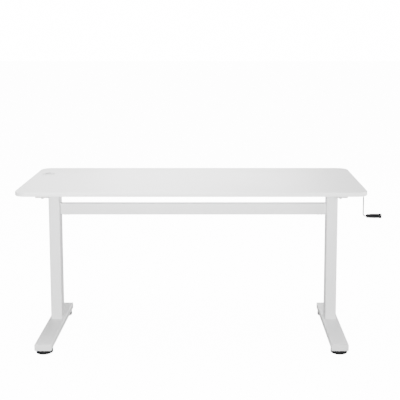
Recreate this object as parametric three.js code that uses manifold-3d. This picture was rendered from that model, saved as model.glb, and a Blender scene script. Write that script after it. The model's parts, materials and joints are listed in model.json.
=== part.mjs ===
// Height adjustable standing desk, worked by a hand crank, stored at its lowest height.
// Millimetres, +Z up. The origin is on the floor midway between the two legs and under the
// middle of the tabletop; the user sits on the -Y side and the crank is on the +X side.
import * as THREE from "three";
import { mergeVertices } from "three/addons/utils/BufferGeometryUtils.js";
import Module from "manifold-3d";

const wasm = await Module();
wasm.setup();

// ---------- Driving dimensions ----------
const GAP = 0.3; // between pieces that touch

const TOP_WIDTH = 1500;
const TOP_DEPTH = 600;
const TOP_THICKNESS = 18;
const TOP_HEIGHT = 717; // upper face of the tabletop, at the lowest setting
const TOP_CORNER_RADIUS = 50;
const TOP_EDGE_RADIUS = 2.5;
const TOP_UNDERSIDE = TOP_HEIGHT - TOP_THICKNESS;

const LEG_X = 642.5; // leg centres, either side of the middle
const LEG_Y = 50; // the legs stand behind the middle of the tabletop

const OUTER_WIDTH = 51;
const OUTER_DEPTH = 67;
const INNER_WIDTH = 44;
const INNER_DEPTH = 60;
const COLUMN_WALL = 1.8;
const OUTER_TOP = 640;
const INNER_BOTTOM = 60;

const FOOT_WIDTH = 74;
const FOOT_FRONT = -285;
const FOOT_REAR = 248;
const FOOT_BOTTOM = 18.2;
const FOOT_TOP = 47;
const FOOT_WALL = 2;
const FOOT_CAP = 3; // thickness of the part of an end cap that shows

const PAD_RADIUS = 37;
const PAD_HEIGHT = FOOT_BOTTOM - GAP;
const PAD_INSET = 38; // pad centre from the end of the foot
const STUD_RADIUS = 4;
const FOOT_BOLT_RADIUS = 4;
const FOOT_BOLT_OFFSET = 21; // from the middle of the column, forwards and back
const STUD_BOTTOM = 5;
const STUD_TOP = 36;

const CROSSBAR_TOP = 597;
const CROSSBAR_BOTTOM = 543;
const CROSSBAR_DEPTH = 27;
const CROSSBAR_WALL = 1.5;
const BRACKET_PLATE = 3;

const ARM_WIDTH = 59;
const ARM_HEIGHT = 21;
const ARM_REACH = 235; // the arms end this far either side of the middle of the tabletop
const ARM_WALL = 2;
const ARM_BOTTOM = TOP_UNDERSIDE - GAP - ARM_HEIGHT;
const ARM_SCREW_Y = 215;
const ARM_SCREW_RADIUS = 3;
const ARM_SCREW_BITE = 12; // depth of a screw in the tabletop

const AXLE_Z = 656; // cross rod and crank shaft
const AXLE_RADIUS = 3.2;
const CRANK_X = 791.5; // the arm of the crank, outside the right edge of the tabletop
const CRANK_THROW = 122;
const CRANK_ROD_RADIUS = 3;
const GRIP_START = 804.5;
const GRIP_LENGTH = 72;

const GEAR_TEETH = 12; // on both gears of a pair, so they turn one for one
const GEAR_RADIUS = 12; // pitch radius at the large end
const GEAR_FACE = 5;

const SCREW_RADIUS = 7;
const SCREW_BOTTOM = 64;
const NUT_TOP = 590;
const NUT_HEIGHT = 30;
const POST_RADIUS = 11;

const GROMMET_X = -686;
const GROMMET_Y = 130;
const GROMMET_HOLE_RADIUS = 27;
const GROMMET_SLOT_WIDTH = 26;
const GROMMET_SLOT_DEPTH = 13;
const GROMMET_SLOT_TURN = 22; // degrees from straight back, towards the left

const SIDES = [
  { side: "left", sign: -1 },
  { side: "right", sign: 1 },
];
const ENDS = [
  { end: "front", footY: FOOT_FRONT, inward: 1 },
  { end: "rear", footY: FOOT_REAR, inward: -1 },
];

// ---------- Finishes ----------
function finish(color, roughness, metalness) {
  return { color, roughness, metalness };
}
const FRAME_PAINT = finish(0xe4e4e3, 0.45, 0.1);
const BOARD = finish(0xeaeaea, 0.5, 0);
const WHITE_PLASTIC = finish(0xe9e9e8, 0.45, 0);
const BLACK_PLASTIC = finish(0x161616, 0.5, 0);
const BLACK_STEEL = finish(0x1c1c1c, 0.4, 0.6);
const GREY_PLASTIC = finish(0x55575a, 0.55, 0);
const ZINC = finish(0xb4b7bb, 0.35, 0.9);
const DARK_STEEL = finish(0x4b4d50, 0.35, 0.9);
const BRASS = finish(0xb08d4a, 0.35, 0.9);

// ---------- Helpers ----------
const desk = new THREE.Group();
desk.name = "standing_desk";

function toSolid(geometry) {
  const bare = geometry.clone();
  bare.deleteAttribute("normal");
  bare.deleteAttribute("uv");
  const merged = mergeVertices(bare, 1e-4);
  return new wasm.Manifold(
    new wasm.Mesh({
      numProp: 3,
      vertProperties: merged.getAttribute("position").array,
      triVerts: new Uint32Array(merged.index.array),
    }),
  );
}

function toGeometry(solid) {
  const mesh = solid.getMesh();
  const geometry = new THREE.BufferGeometry();
  geometry.setAttribute("position", new THREE.BufferAttribute(mesh.vertProperties, 3));
  geometry.setIndex(new THREE.BufferAttribute(mesh.triVerts, 1));
  geometry.computeVertexNormals();
  return geometry;
}

// Adds every solid in the list together, then takes each of the cuts away.
function shape(solids, cuts = []) {
  let made = solids[0];
  for (const more of solids.slice(1)) made = made.add(more);
  for (const cut of cuts) made = made.subtract(cut);
  return made;
}

function piece(name, solid, look) {
  const material = new THREE.MeshStandardMaterial(look);
  const mesh = new THREE.Mesh(toGeometry(solid), material);
  mesh.name = name;
  desk.add(mesh);
}

function box(x0, x1, y0, y1, z0, z1) {
  const geometry = new THREE.BoxGeometry(x1 - x0, y1 - y0, z1 - z0);
  geometry.translate((x0 + x1) / 2, (y0 + y1) / 2, (z0 + z1) / 2);
  return toSolid(geometry);
}

// A round bar along z from z0 to z1.
function barZ(x, y, radius, z0, z1, facets = 20) {
  const geometry = new THREE.CylinderGeometry(radius, radius, z1 - z0, facets);
  geometry.rotateX(Math.PI / 2);
  geometry.translate(x, y, (z0 + z1) / 2);
  return toSolid(geometry);
}

// A round bar along x from x0 to x1.
function barX(y, z, radius, x0, x1, facets = 20) {
  const geometry = new THREE.CylinderGeometry(radius, radius, x1 - x0, facets);
  geometry.rotateZ(Math.PI / 2);
  geometry.translate((x0 + x1) / 2, y, z);
  return toSolid(geometry);
}

function roundedRectangle(width, height, radius) {
  const w = width / 2;
  const h = height / 2;
  const outline = new THREE.Shape();
  outline.moveTo(w, -h + radius);
  outline.lineTo(w, h - radius);
  outline.absarc(w - radius, h - radius, radius, 0, Math.PI / 2);
  outline.lineTo(-w + radius, h);
  outline.absarc(-w + radius, h - radius, radius, Math.PI / 2, Math.PI);
  outline.lineTo(-w, -h + radius);
  outline.absarc(-w + radius, -h + radius, radius, Math.PI, Math.PI * 1.5);
  outline.lineTo(w - radius, -h);
  outline.absarc(w - radius, -h + radius, radius, Math.PI * 1.5, Math.PI * 2);
  return outline;
}

// A slab with rounded corners, centred on the origin, its faces at z = 0 and z = thickness.
function slab(width, height, radius, thickness, edge = 0, segments = 2) {
  return new THREE.ExtrudeGeometry(roundedRectangle(width, height, radius), {
    depth: thickness - 2 * edge,
    bevelEnabled: edge > 0,
    bevelThickness: edge,
    bevelSize: edge,
    bevelOffset: -edge,
    bevelSegments: 2,
    curveSegments: segments,
  }).translate(0, 0, edge);
}

// A rectangular tube with rounded corners, standing on z = 0.
function tube(width, height, wall, radius, length) {
  const outline = roundedRectangle(width, height, radius);
  const inner = Math.max(radius - wall, 0.8);
  outline.holes.push(roundedRectangle(width - 2 * wall, height - 2 * wall, inner));
  return new THREE.ExtrudeGeometry(outline, {
    depth: length,
    bevelEnabled: false,
    curveSegments: 2,
  });
}

// Lays what stands on z = 0 along +y or along +x, and moves its foot to a point.
function laidAlongY(geometry, x, y, z) {
  return toSolid(geometry.rotateX(-Math.PI / 2).translate(x, y, z));
}

function laidAlongX(geometry, x, y, z) {
  return toSolid(geometry.rotateY(Math.PI / 2).translate(x, y, z));
}

// A closed [radius, height] profile, turned round a vertical axis.
function turned(profile, facets = 32) {
  const points = profile.map(([radius, height]) => new THREE.Vector2(radius, height));
  return new THREE.LatheGeometry([...points, points[0]], facets).rotateX(Math.PI / 2);
}

function standing(geometry, x, y, z) {
  return toSolid(geometry.translate(x, y, z));
}

// ---------- Feet, with their levelling pads ----------
function footBeam(x) {
  const height = FOOT_TOP - FOOT_BOTTOM;
  const start = FOOT_FRONT + FOOT_CAP + GAP;
  const length = FOOT_REAR - FOOT_CAP - GAP - start;
  const beam = tube(FOOT_WIDTH, height, FOOT_WALL, 3, length);
  const solids = [laidAlongY(beam, x, start, FOOT_BOTTOM + height / 2)];
  const cuts = [];
  for (const { footY, inward } of ENDS) {
    const y = footY + inward * PAD_INSET;
    solids.push(barZ(x, y, 9, FOOT_BOTTOM + 1, FOOT_BOTTOM + 13));
    cuts.push(barZ(x, y, STUD_RADIUS + GAP, FOOT_BOTTOM - 1, FOOT_BOTTOM + 14));
  }
  for (const { inward } of ENDS) {
    const y = LEG_Y + inward * FOOT_BOLT_OFFSET;
    cuts.push(barZ(x, y, FOOT_BOLT_RADIUS + GAP, FOOT_BOTTOM - 1, FOOT_TOP + 1, 16));
  }
  return shape(solids, cuts);
}

function footCap(x, footY, inward) {
  const width = FOOT_WIDTH;
  const height = FOOT_TOP - FOOT_BOTTOM;
  const middle = FOOT_BOTTOM + height / 2;
  const plugWidth = width - 2 * FOOT_WALL - 2 * GAP;
  const plugHeight = height - 2 * FOOT_WALL - 2 * GAP;
  const face = slab(width, height, 3, FOOT_CAP, 0.8);
  const plug = tube(plugWidth, plugHeight, 2, 2, FOOT_CAP + 12);
  if (inward < 0) {
    face.translate(0, 0, -FOOT_CAP);
    plug.translate(0, 0, -FOOT_CAP - 12);
  }
  const plugY = footY + inward;
  return shape([laidAlongY(face, x, footY, middle), laidAlongY(plug, x, plugY, middle)]);
}

function levellingPad(x, y) {
  const bore = STUD_RADIUS + GAP;
  const profile = [
    [0, 0],
    [PAD_RADIUS - 1.6, 0],
    [PAD_RADIUS, 1.6],
    [PAD_RADIUS, PAD_HEIGHT - 1.5],
    [PAD_RADIUS - 1.5, PAD_HEIGHT],
    [bore, PAD_HEIGHT],
    [bore, STUD_BOTTOM - GAP],
    [0, STUD_BOTTOM - GAP],
  ];
  return standing(turned(profile, 36), x, y, 0);
}

for (const { side, sign } of SIDES) {
  const x = sign * LEG_X;
  piece(`foot_beam_${side}`, footBeam(x), FRAME_PAINT);
  for (const { end, footY, inward } of ENDS) {
    const y = footY + inward * PAD_INSET;
    const stud = barZ(x, y, STUD_RADIUS, STUD_BOTTOM, STUD_TOP, 20);
    piece(`foot_cap_${end}_${side}`, footCap(x, footY, inward), WHITE_PLASTIC);
    piece(`levelling_pad_${end}_${side}`, levellingPad(x, y), BLACK_PLASTIC);
    piece(`levelling_stud_${end}_${side}`, stud, ZINC);
  }
}

// ---------- Fixed part of each leg ----------
const FLANGE_TOP = FOOT_TOP + GAP + 5;

// The post stands on a flange inside the column and carries the nut for the lead screw.
function nutPost(x) {
  const flange = slab(OUTER_WIDTH - 5, OUTER_DEPTH - 5, 2, 5);
  const post = barZ(x, LEG_Y, POST_RADIUS, FLANGE_TOP - 1, NUT_TOP - NUT_HEIGHT - GAP);
  const cuts = [barZ(x, LEG_Y, SCREW_RADIUS + 1.3, FOOT_TOP, NUT_TOP)];
  for (const { inward } of ENDS) {
    const y = LEG_Y + inward * FOOT_BOLT_OFFSET;
    cuts.push(barZ(x, y, FOOT_BOLT_RADIUS + GAP, FOOT_TOP, FLANGE_TOP + 1, 16));
  }
  return shape([standing(flange, x, LEG_Y, FOOT_TOP + GAP), post], cuts);
}

function screwNut(x) {
  const skirt = POST_RADIUS + GAP;
  const bottom = NUT_TOP - NUT_HEIGHT;
  return shape(
    [barZ(x, LEG_Y, 13.5, bottom - 12, NUT_TOP, 32)],
    [
      barZ(x, LEG_Y, skirt, bottom - 13, bottom),
      barZ(x, LEG_Y, SCREW_RADIUS + GAP, bottom - 1, NUT_TOP + 1),
    ],
  );
}

// A bolt up through the foot, with a hexagonal head under it.
function footBolt(x, y) {
  const under = FOOT_BOTTOM - GAP;
  return shape([
    barZ(x, y, 6.5, under - 5, under, 6),
    barZ(x, y, FOOT_BOLT_RADIUS, under - 1, FLANGE_TOP, 16),
  ]);
}

// Plastic sleeve in the mouth of the outer column, with a rim over its edge.
function glideSleeve(x) {
  const wall = (OUTER_WIDTH - INNER_WIDTH) / 2 - COLUMN_WALL - 2 * GAP;
  const width = INNER_WIDTH + 2 * GAP + 2 * wall;
  const depth = INNER_DEPTH + 2 * GAP + 2 * wall;
  const rim = (OUTER_WIDTH - INNER_WIDTH) / 2 - GAP;
  const sleeve = tube(width, depth, wall, 3.2, 52);
  const lip = tube(OUTER_WIDTH, OUTER_DEPTH, rim, 4, 3);
  return shape([
    standing(sleeve, x, LEG_Y, OUTER_TOP - 50),
    standing(lip, x, LEG_Y, OUTER_TOP + GAP),
  ]);
}

for (const { side, sign } of SIDES) {
  const x = sign * LEG_X;
  const bottom = FOOT_TOP + GAP;
  const column = tube(OUTER_WIDTH, OUTER_DEPTH, COLUMN_WALL, 4, OUTER_TOP - bottom);
  piece(`outer_column_${side}`, standing(column, x, LEG_Y, bottom), FRAME_PAINT);
  piece(`nut_post_${side}`, nutPost(x), DARK_STEEL);
  piece(`screw_nut_${side}`, screwNut(x), BRASS);
  piece(`glide_sleeve_${side}`, glideSleeve(x), GREY_PLASTIC);
  for (const { end, inward } of ENDS) {
    const bolt = footBolt(x, LEG_Y + inward * FOOT_BOLT_OFFSET);
    piece(`foot_bolt_${end}_${side}`, bolt, DARK_STEEL);
  }
}

// ---------- Crossbar between the legs ----------
const CROSSBAR_HEIGHT = CROSSBAR_TOP - CROSSBAR_BOTTOM;
const CROSSBAR_MIDDLE = (CROSSBAR_TOP + CROSSBAR_BOTTOM) / 2;
const BRACKET_X = LEG_X - OUTER_WIDTH / 2 - GAP; // face of a bracket against its column
const CROSSBAR_END = BRACKET_X - BRACKET_PLATE - GAP;
const CROSSBAR_BOLT_BITE = 6; // length of a bolt above the underside of the crossbar

// A plate on the column with a hollow tongue that the crossbar slides over.
function crossbarBracket(sign) {
  const tongueHeight = CROSSBAR_HEIGHT - 2 * CROSSBAR_WALL - 2 * GAP;
  const tongueDepth = CROSSBAR_DEPTH - 2 * CROSSBAR_WALL - 2 * GAP;
  const plate = slab(CROSSBAR_HEIGHT, CROSSBAR_DEPTH, 2, BRACKET_PLATE);
  const tongue = tube(tongueHeight, tongueDepth, 2, 2, 40);
  plate.translate(0, 0, sign > 0 ? -BRACKET_PLATE : 0);
  tongue.translate(0, 0, sign > 0 ? -41 : 1);
  const x = sign * BRACKET_X;
  const solids = [
    laidAlongX(plate, x, LEG_Y, CROSSBAR_MIDDLE),
    laidAlongX(tongue, x, LEG_Y, CROSSBAR_MIDDLE),
  ];
  const cuts = crossbarBoltXs(sign).map((boltX) =>
    barZ(boltX, LEG_Y, 2.5 + GAP, CROSSBAR_BOTTOM, CROSSBAR_BOTTOM + 8, 12),
  );
  return shape(solids, cuts);
}

function crossbarBoltXs(sign) {
  return [16, 32].map((inset) => sign * (CROSSBAR_END - inset));
}

const crossbarTube = tube(
  CROSSBAR_HEIGHT,
  CROSSBAR_DEPTH,
  CROSSBAR_WALL,
  3,
  2 * CROSSBAR_END,
);
const crossbarHoles = SIDES.flatMap(({ sign }) => crossbarBoltXs(sign)).map((boltX) =>
  barZ(boltX, LEG_Y, 2.5 + GAP, CROSSBAR_BOTTOM - 1, CROSSBAR_BOTTOM + 8, 12),
);
const crossbar = laidAlongX(crossbarTube, -CROSSBAR_END, LEG_Y, CROSSBAR_MIDDLE);
piece("crossbar", shape([crossbar], crossbarHoles), FRAME_PAINT);

for (const { side, sign } of SIDES) {
  piece(`crossbar_bracket_${side}`, crossbarBracket(sign), FRAME_PAINT);
  crossbarBoltXs(sign).forEach((boltX, index) => {
    const under = CROSSBAR_BOTTOM - GAP;
    const bolt = shape([
      barZ(boltX, LEG_Y, 4.5, under - 3, under, 16),
      barZ(boltX, LEG_Y, 2.5, under - 1, under + CROSSBAR_BOLT_BITE, 12),
    ]);
    const place = index === 0 ? "outer" : "inner";
    piece(`crossbar_bolt_${place}_${side}`, bolt, DARK_STEEL);
  });
}

// ---------- Rising part of each leg ----------
const INNER_TOP = ARM_BOTTOM - GAP;
const CARRIER_BOTTOM = AXLE_Z - 30;
const CARRIER_FLOOR = 8;
const CHAMBER_HALF_WIDTH = 16.5;
const BUSHING_RADIUS = 6;
const NECK_RADIUS = 4.4; // top of the lead screw, inside the gear

// The cross rod leaves the left leg on its inner side only; it runs right through the right leg.
function rodSides(sign) {
  return sign < 0 ? [1] : [-1, 1];
}

function rodHole(x, face, from, to) {
  const ends = [x + face * from, x + face * to];
  return barX(LEG_Y, AXLE_Z, BUSHING_RADIUS + GAP, Math.min(...ends), Math.max(...ends));
}

function innerColumn(x, sign) {
  const length = INNER_TOP - INNER_BOTTOM;
  const column = tube(INNER_WIDTH, INNER_DEPTH, COLUMN_WALL, 3, length);
  const holes = rodSides(sign).map((face) => rodHole(x, face, 18, 24));
  return shape([standing(column, x, LEG_Y, INNER_BOTTOM)], holes);
}

// Plastic shoe round the foot of the inner column, running inside the outer one.
function innerGlide(x) {
  const wall = (OUTER_WIDTH - INNER_WIDTH) / 2 - COLUMN_WALL - 2 * GAP;
  const width = INNER_WIDTH + 2 * GAP + 2 * wall;
  const depth = INNER_DEPTH + 2 * GAP + 2 * wall;
  const shoe = tube(width, depth, wall, 3.2, 34);
  const sole = tube(width, depth, 4, 3.2, 3);
  const bottom = INNER_BOTTOM - GAP - 3;
  return shape([standing(shoe, x, LEG_Y, bottom), standing(sole, x, LEG_Y, bottom)]);
}

// A cup in the top of the inner column that holds the two gears square to each other.
function gearCarrier(x, sign) {
  const width = INNER_WIDTH - 2 * COLUMN_WALL - 2 * GAP;
  const depth = INNER_DEPTH - 2 * COLUMN_WALL - 2 * GAP;
  const floor = CARRIER_BOTTOM + CARRIER_FLOOR;
  const cup = slab(width, depth, 2, INNER_TOP - GAP - CARRIER_BOTTOM);
  const cuts = [
    box(
      x - CHAMBER_HALF_WIDTH,
      x + CHAMBER_HALF_WIDTH,
      LEG_Y - 17,
      LEG_Y + 17,
      floor,
      INNER_TOP + 1,
    ),
    barZ(x, LEG_Y, NECK_RADIUS + GAP, CARRIER_BOTTOM - 1, floor + 1),
    barX(LEG_Y, AXLE_Z, AXLE_RADIUS + GAP, x - 30, x),
    ...rodSides(sign).map((face) => rodHole(x, face, 15, 30)),
  ];
  return shape([standing(cup, x, LEG_Y, CARRIER_BOTTOM)], cuts);
}

// Flanged bush that carries the cross rod through the wall of the inner column.
function rodBushing(x, face) {
  const bore = AXLE_RADIUS + GAP;
  const collar = INNER_WIDTH / 2 + GAP;
  const profile = [
    [bore, CHAMBER_HALF_WIDTH + GAP],
    [BUSHING_RADIUS, CHAMBER_HALF_WIDTH + GAP],
    [BUSHING_RADIUS, collar],
    [BUSHING_RADIUS + 1.5, collar],
    [BUSHING_RADIUS + 1.5, collar + 2.2],
    [BUSHING_RADIUS + 0.7, collar + 3],
    [bore, collar + 3],
  ];
  const bush = turned(profile, 24);
  if (face < 0) bush.rotateX(Math.PI);
  return laidAlongX(bush, x, LEG_Y, AXLE_Z);
}

// Pressed-steel pan under the tabletop, open upwards, with its ends cut back underneath.
function supportArm(x) {
  const block = (inset, top) => {
    const reach = ARM_REACH - inset;
    const width = ARM_WIDTH - 2 * inset;
    const outline = new THREE.Shape();
    outline.moveTo(-reach + 9, inset);
    outline.lineTo(reach - 9, inset);
    outline.lineTo(reach, inset + 9);
    outline.lineTo(reach, top);
    outline.lineTo(-reach, top);
    outline.lineTo(-reach, inset + 9);
    const solid = new THREE.ExtrudeGeometry(outline, { depth: width, bevelEnabled: false });
    solid.translate(0, 0, -width / 2).rotateX(Math.PI / 2).rotateZ(Math.PI / 2);
    return standing(solid, x, 0, ARM_BOTTOM);
  };
  const holes = [-ARM_SCREW_Y, ARM_SCREW_Y].map((y) =>
    barZ(x, y, ARM_SCREW_RADIUS + GAP, ARM_BOTTOM - 1, ARM_BOTTOM + 4, 16),
  );
  return shape([block(0, ARM_HEIGHT)], [block(ARM_WALL, ARM_HEIGHT + 1), ...holes]);
}

function armScrew(x, y) {
  const under = ARM_BOTTOM - GAP;
  const head = [
    [0, -5],
    [4, -5],
    [6.2, -3.6],
    [6.8, 0],
    [0, 0],
  ];
  return shape([
    standing(turned(head, 24), x, y, under),
    barZ(x, y, ARM_SCREW_RADIUS, under - 1, TOP_UNDERSIDE + ARM_SCREW_BITE, 16),
  ]);
}

for (const { side, sign } of SIDES) {
  const x = sign * LEG_X;
  piece(`inner_column_${side}`, innerColumn(x, sign), FRAME_PAINT);
  piece(`inner_glide_${side}`, innerGlide(x), GREY_PLASTIC);
  piece(`gear_carrier_${side}`, gearCarrier(x, sign), ZINC);
  piece(`support_arm_${side}`, supportArm(x), FRAME_PAINT);
  for (const face of rodSides(sign)) {
    const place = face === -sign ? "inner" : "outer";
    piece(`rod_bushing_${place}_${side}`, rodBushing(x, face), GREY_PLASTIC);
  }
  piece(`arm_screw_front_${side}`, armScrew(x, -ARM_SCREW_Y), BLACK_STEEL);
  piece(`arm_screw_rear_${side}`, armScrew(x, ARM_SCREW_Y), BLACK_STEEL);
}

// ---------- Tabletop and its cable grommet ----------
const board = slab(
  TOP_WIDTH,
  TOP_DEPTH,
  TOP_CORNER_RADIUS,
  TOP_THICKNESS,
  TOP_EDGE_RADIUS,
  5,
);
const boardHoles = [
  barZ(GROMMET_X, GROMMET_Y, GROMMET_HOLE_RADIUS, TOP_UNDERSIDE - 1, TOP_HEIGHT + 1, 40),
];
for (const { sign } of SIDES) {
  for (const y of [-ARM_SCREW_Y, ARM_SCREW_Y]) {
    const end = TOP_UNDERSIDE + ARM_SCREW_BITE + GAP;
    const radius = ARM_SCREW_RADIUS + GAP;
    boardHoles.push(barZ(sign * LEG_X, y, radius, TOP_UNDERSIDE - 1, end, 16));
  }
}
piece("tabletop", shape([standing(board, 0, 0, TOP_UNDERSIDE)], boardHoles), BOARD);

const RING_BORE = 22.5;
const RING_DEPTH = TOP_THICKNESS - 0.5; // it stops short of the arm that runs under its edge
const RIM_HEIGHT = 2.2; // of the ring above the tabletop
const CAP_RADIUS = 24.4;
const ringOuter = GROMMET_HOLE_RADIUS - GAP;
const ring = turned(
  [
    [RING_BORE, -RING_DEPTH],
    [ringOuter, -RING_DEPTH],
    [ringOuter, GAP],
    [GROMMET_HOLE_RADIUS + 3, GAP],
    [GROMMET_HOLE_RADIUS + 3, RIM_HEIGHT - 0.9],
    [GROMMET_HOLE_RADIUS + 2, RIM_HEIGHT],
    [CAP_RADIUS + GAP, RIM_HEIGHT],
    [CAP_RADIUS + GAP, -1],
    [RING_BORE, -1],
  ],
  40,
);
piece("grommet_ring", standing(ring, GROMMET_X, GROMMET_Y, TOP_HEIGHT), WHITE_PLASTIC);

// The cap lies on the step inside the ring and has a notch in its edge for the cable.
function grommetCap() {
  const disc = turned(
    [
      [0, -1 + GAP],
      [CAP_RADIUS, -1 + GAP],
      [CAP_RADIUS, RIM_HEIGHT - 0.7],
      [CAP_RADIUS - 0.7, RIM_HEIGHT],
      [0, RIM_HEIGHT],
    ],
    40,
  );
  const inner = CAP_RADIUS - GROMMET_SLOT_DEPTH;
  const turn = THREE.MathUtils.degToRad(GROMMET_SLOT_TURN);
  const notch = slab(GROMMET_SLOT_WIDTH, 30, 3, 8).translate(0, inner + 15, -4);
  return shape(
    [standing(disc, GROMMET_X, GROMMET_Y, TOP_HEIGHT)],
    [standing(notch.rotateZ(turn), GROMMET_X, GROMMET_Y, TOP_HEIGHT)],
  );
}
piece("grommet_cap", grommetCap(), WHITE_PLASTIC);

// ---------- Drive: crank, cross rod, gears and lead screws ----------
// A bevel gear on the z axis, its large end at z = 0 and narrowing upwards to its apex.
function bevelGear(bore, hubRadius, hubLength, phase) {
  const points = [];
  const tooth = 360 / GEAR_TEETH;
  const corners = [
    [GEAR_RADIUS - 2, -10],
    [GEAR_RADIUS + 1.5, -4.8],
    [GEAR_RADIUS + 1.5, 4.8],
    [GEAR_RADIUS - 2, 10],
  ];
  for (let i = 0; i < GEAR_TEETH; i++) {
    for (const [radius, offset] of corners) {
      const angle = THREE.MathUtils.degToRad(i * tooth + phase + offset);
      points.push(new THREE.Vector2(radius * Math.cos(angle), radius * Math.sin(angle)));
    }
  }
  const teeth = new THREE.ExtrudeGeometry(new THREE.Shape(points), {
    depth: GEAR_FACE,
    bevelEnabled: false,
  });
  const position = teeth.getAttribute("position");
  for (let i = 0; i < position.count; i++) {
    const scale = 1 - position.getZ(i) / GEAR_RADIUS;
    position.setXY(i, position.getX(i) * scale, position.getY(i) * scale);
  }
  return shape(
    [toSolid(teeth), barZ(0, 0, hubRadius, -hubLength, 0.5)],
    [barZ(0, 0, bore, -hubLength - 1, GEAR_FACE + 1)],
  );
}

for (const { side, sign } of SIDES) {
  const x = sign * LEG_X;
  const hubLength = AXLE_Z - GEAR_RADIUS - (CARRIER_BOTTOM + CARRIER_FLOOR + GAP);
  const gear = bevelGear(NECK_RADIUS + GAP, 9, hubLength, 0);
  const pinion = bevelGear(AXLE_RADIUS + GAP, 8, 4, 180 / GEAR_TEETH).rotate([0, 90, 0]);
  const screw = shape([
    barZ(x, LEG_Y, SCREW_RADIUS, SCREW_BOTTOM, CARRIER_BOTTOM - GAP),
    barZ(x, LEG_Y, NECK_RADIUS, CARRIER_BOTTOM - 1, AXLE_Z - 7.5),
  ]);
  piece(`lead_screw_${side}`, screw, ZINC);
  piece(`screw_gear_${side}`, gear.translate([x, LEG_Y, AXLE_Z - GEAR_RADIUS]), DARK_STEEL);
  piece(`rod_gear_${side}`, pinion.translate([x - GEAR_RADIUS, LEG_Y, AXLE_Z]), DARK_STEEL);
}

const HUB_START = 690;
const HUB_END = 716;
const rodStart = -LEG_X - CHAMBER_HALF_WIDTH - 3;
const crossRod = barX(LEG_Y, AXLE_Z, AXLE_RADIUS, rodStart, HUB_END - 9);
piece("cross_rod", crossRod, DARK_STEEL);

// The crank is one bent bar with a socket at one end and a riveted head inside the grip.
function crankPath() {
  const low = AXLE_Z - CRANK_THROW;
  const at = (x, z) => new THREE.Vector3(x, LEG_Y, z);
  const path = new THREE.CurvePath();
  path.add(new THREE.LineCurve3(at(HUB_END - 4, AXLE_Z), at(CRANK_X - 8, AXLE_Z)));
  path.add(
    new THREE.QuadraticBezierCurve3(
      at(CRANK_X - 8, AXLE_Z),
      at(CRANK_X, AXLE_Z),
      at(CRANK_X, AXLE_Z - 8),
    ),
  );
  path.add(new THREE.LineCurve3(at(CRANK_X, AXLE_Z - 8), at(CRANK_X, low + 10)));
  path.add(
    new THREE.QuadraticBezierCurve3(
      at(CRANK_X, low + 10),
      at(CRANK_X, low),
      at(CRANK_X + 10, low),
    ),
  );
  path.add(new THREE.LineCurve3(at(CRANK_X + 10, low), at(GRIP_START + 67, low)));
  return path;
}

function crankRod() {
  const section = new THREE.Shape();
  section.absarc(0, 0, CRANK_ROD_RADIUS, 0, Math.PI * 2);
  const bar = new THREE.ExtrudeGeometry(section, {
    steps: 48,
    curveSegments: 6,
    extrudePath: crankPath(),
  });
  const low = AXLE_Z - CRANK_THROW;
  return shape(
    [
      toSolid(bar),
      barX(LEG_Y, AXLE_Z, 6.5, HUB_START, HUB_END, 28),
      barX(LEG_Y, low, 5, GRIP_START + 66.4, GRIP_START + 69.4),
    ],
    [barX(LEG_Y, AXLE_Z, AXLE_RADIUS + GAP, HUB_START - 1, HUB_END - 8.7)],
  );
}
piece("crank_rod", crankRod(), DARK_STEEL);

const gripProfile = [
  [3.3, 0],
  [6.4, 0],
  [8.2, 1.4],
  [9.3, 5],
  [10.1, 18],
  [10.9, 44],
  [10.6, 57],
  [11.5, 66],
  [11.3, 70],
  [9.8, GRIP_LENGTH],
  [5.6, GRIP_LENGTH],
  [5.6, 66],
  [3.3, 66],
];
const grip = laidAlongX(
  turned(gripProfile, 32),
  GRIP_START,
  LEG_Y,
  AXLE_Z - CRANK_THROW,
);
piece("crank_grip", grip, BLACK_PLASTIC);

export default desk;
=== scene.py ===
"""Looks of a hand-cranked standing desk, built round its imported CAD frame."""

from __future__ import annotations

import json
import logging
import math
from dataclasses import dataclass, field
from enum import Enum
from typing import Callable, Optional, Sequence, Union

import bmesh
import bpy
from mathutils import Matrix, Vector

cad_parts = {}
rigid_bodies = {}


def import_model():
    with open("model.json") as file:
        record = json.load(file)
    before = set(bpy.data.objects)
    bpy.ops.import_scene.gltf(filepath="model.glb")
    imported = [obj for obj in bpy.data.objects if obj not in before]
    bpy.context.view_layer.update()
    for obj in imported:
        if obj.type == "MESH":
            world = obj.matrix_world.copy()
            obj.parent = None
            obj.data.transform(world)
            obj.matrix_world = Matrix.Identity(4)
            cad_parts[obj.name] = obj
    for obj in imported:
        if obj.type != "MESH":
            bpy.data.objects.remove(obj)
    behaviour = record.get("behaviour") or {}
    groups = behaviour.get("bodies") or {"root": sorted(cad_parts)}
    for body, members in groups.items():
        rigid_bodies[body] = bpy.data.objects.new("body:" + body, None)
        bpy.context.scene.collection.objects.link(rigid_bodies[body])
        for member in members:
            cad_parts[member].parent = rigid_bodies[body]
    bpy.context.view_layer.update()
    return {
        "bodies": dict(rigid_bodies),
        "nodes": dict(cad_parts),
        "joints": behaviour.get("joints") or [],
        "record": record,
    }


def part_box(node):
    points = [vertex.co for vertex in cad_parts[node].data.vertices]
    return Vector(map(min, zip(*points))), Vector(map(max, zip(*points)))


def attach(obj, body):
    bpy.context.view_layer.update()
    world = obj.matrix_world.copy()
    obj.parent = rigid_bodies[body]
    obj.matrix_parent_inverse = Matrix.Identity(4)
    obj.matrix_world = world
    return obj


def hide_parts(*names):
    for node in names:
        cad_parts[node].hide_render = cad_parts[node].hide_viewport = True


LOG = logging.getLogger("standing_desk")
MM = 0.001
GAP = 0.3 * MM
HAIR = 0.02 * MM
ROD_LINE = 0.656  # height of the cross rod's axis

Point = tuple[float, float, float]
Profile = Sequence[tuple[float, float]]


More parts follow.
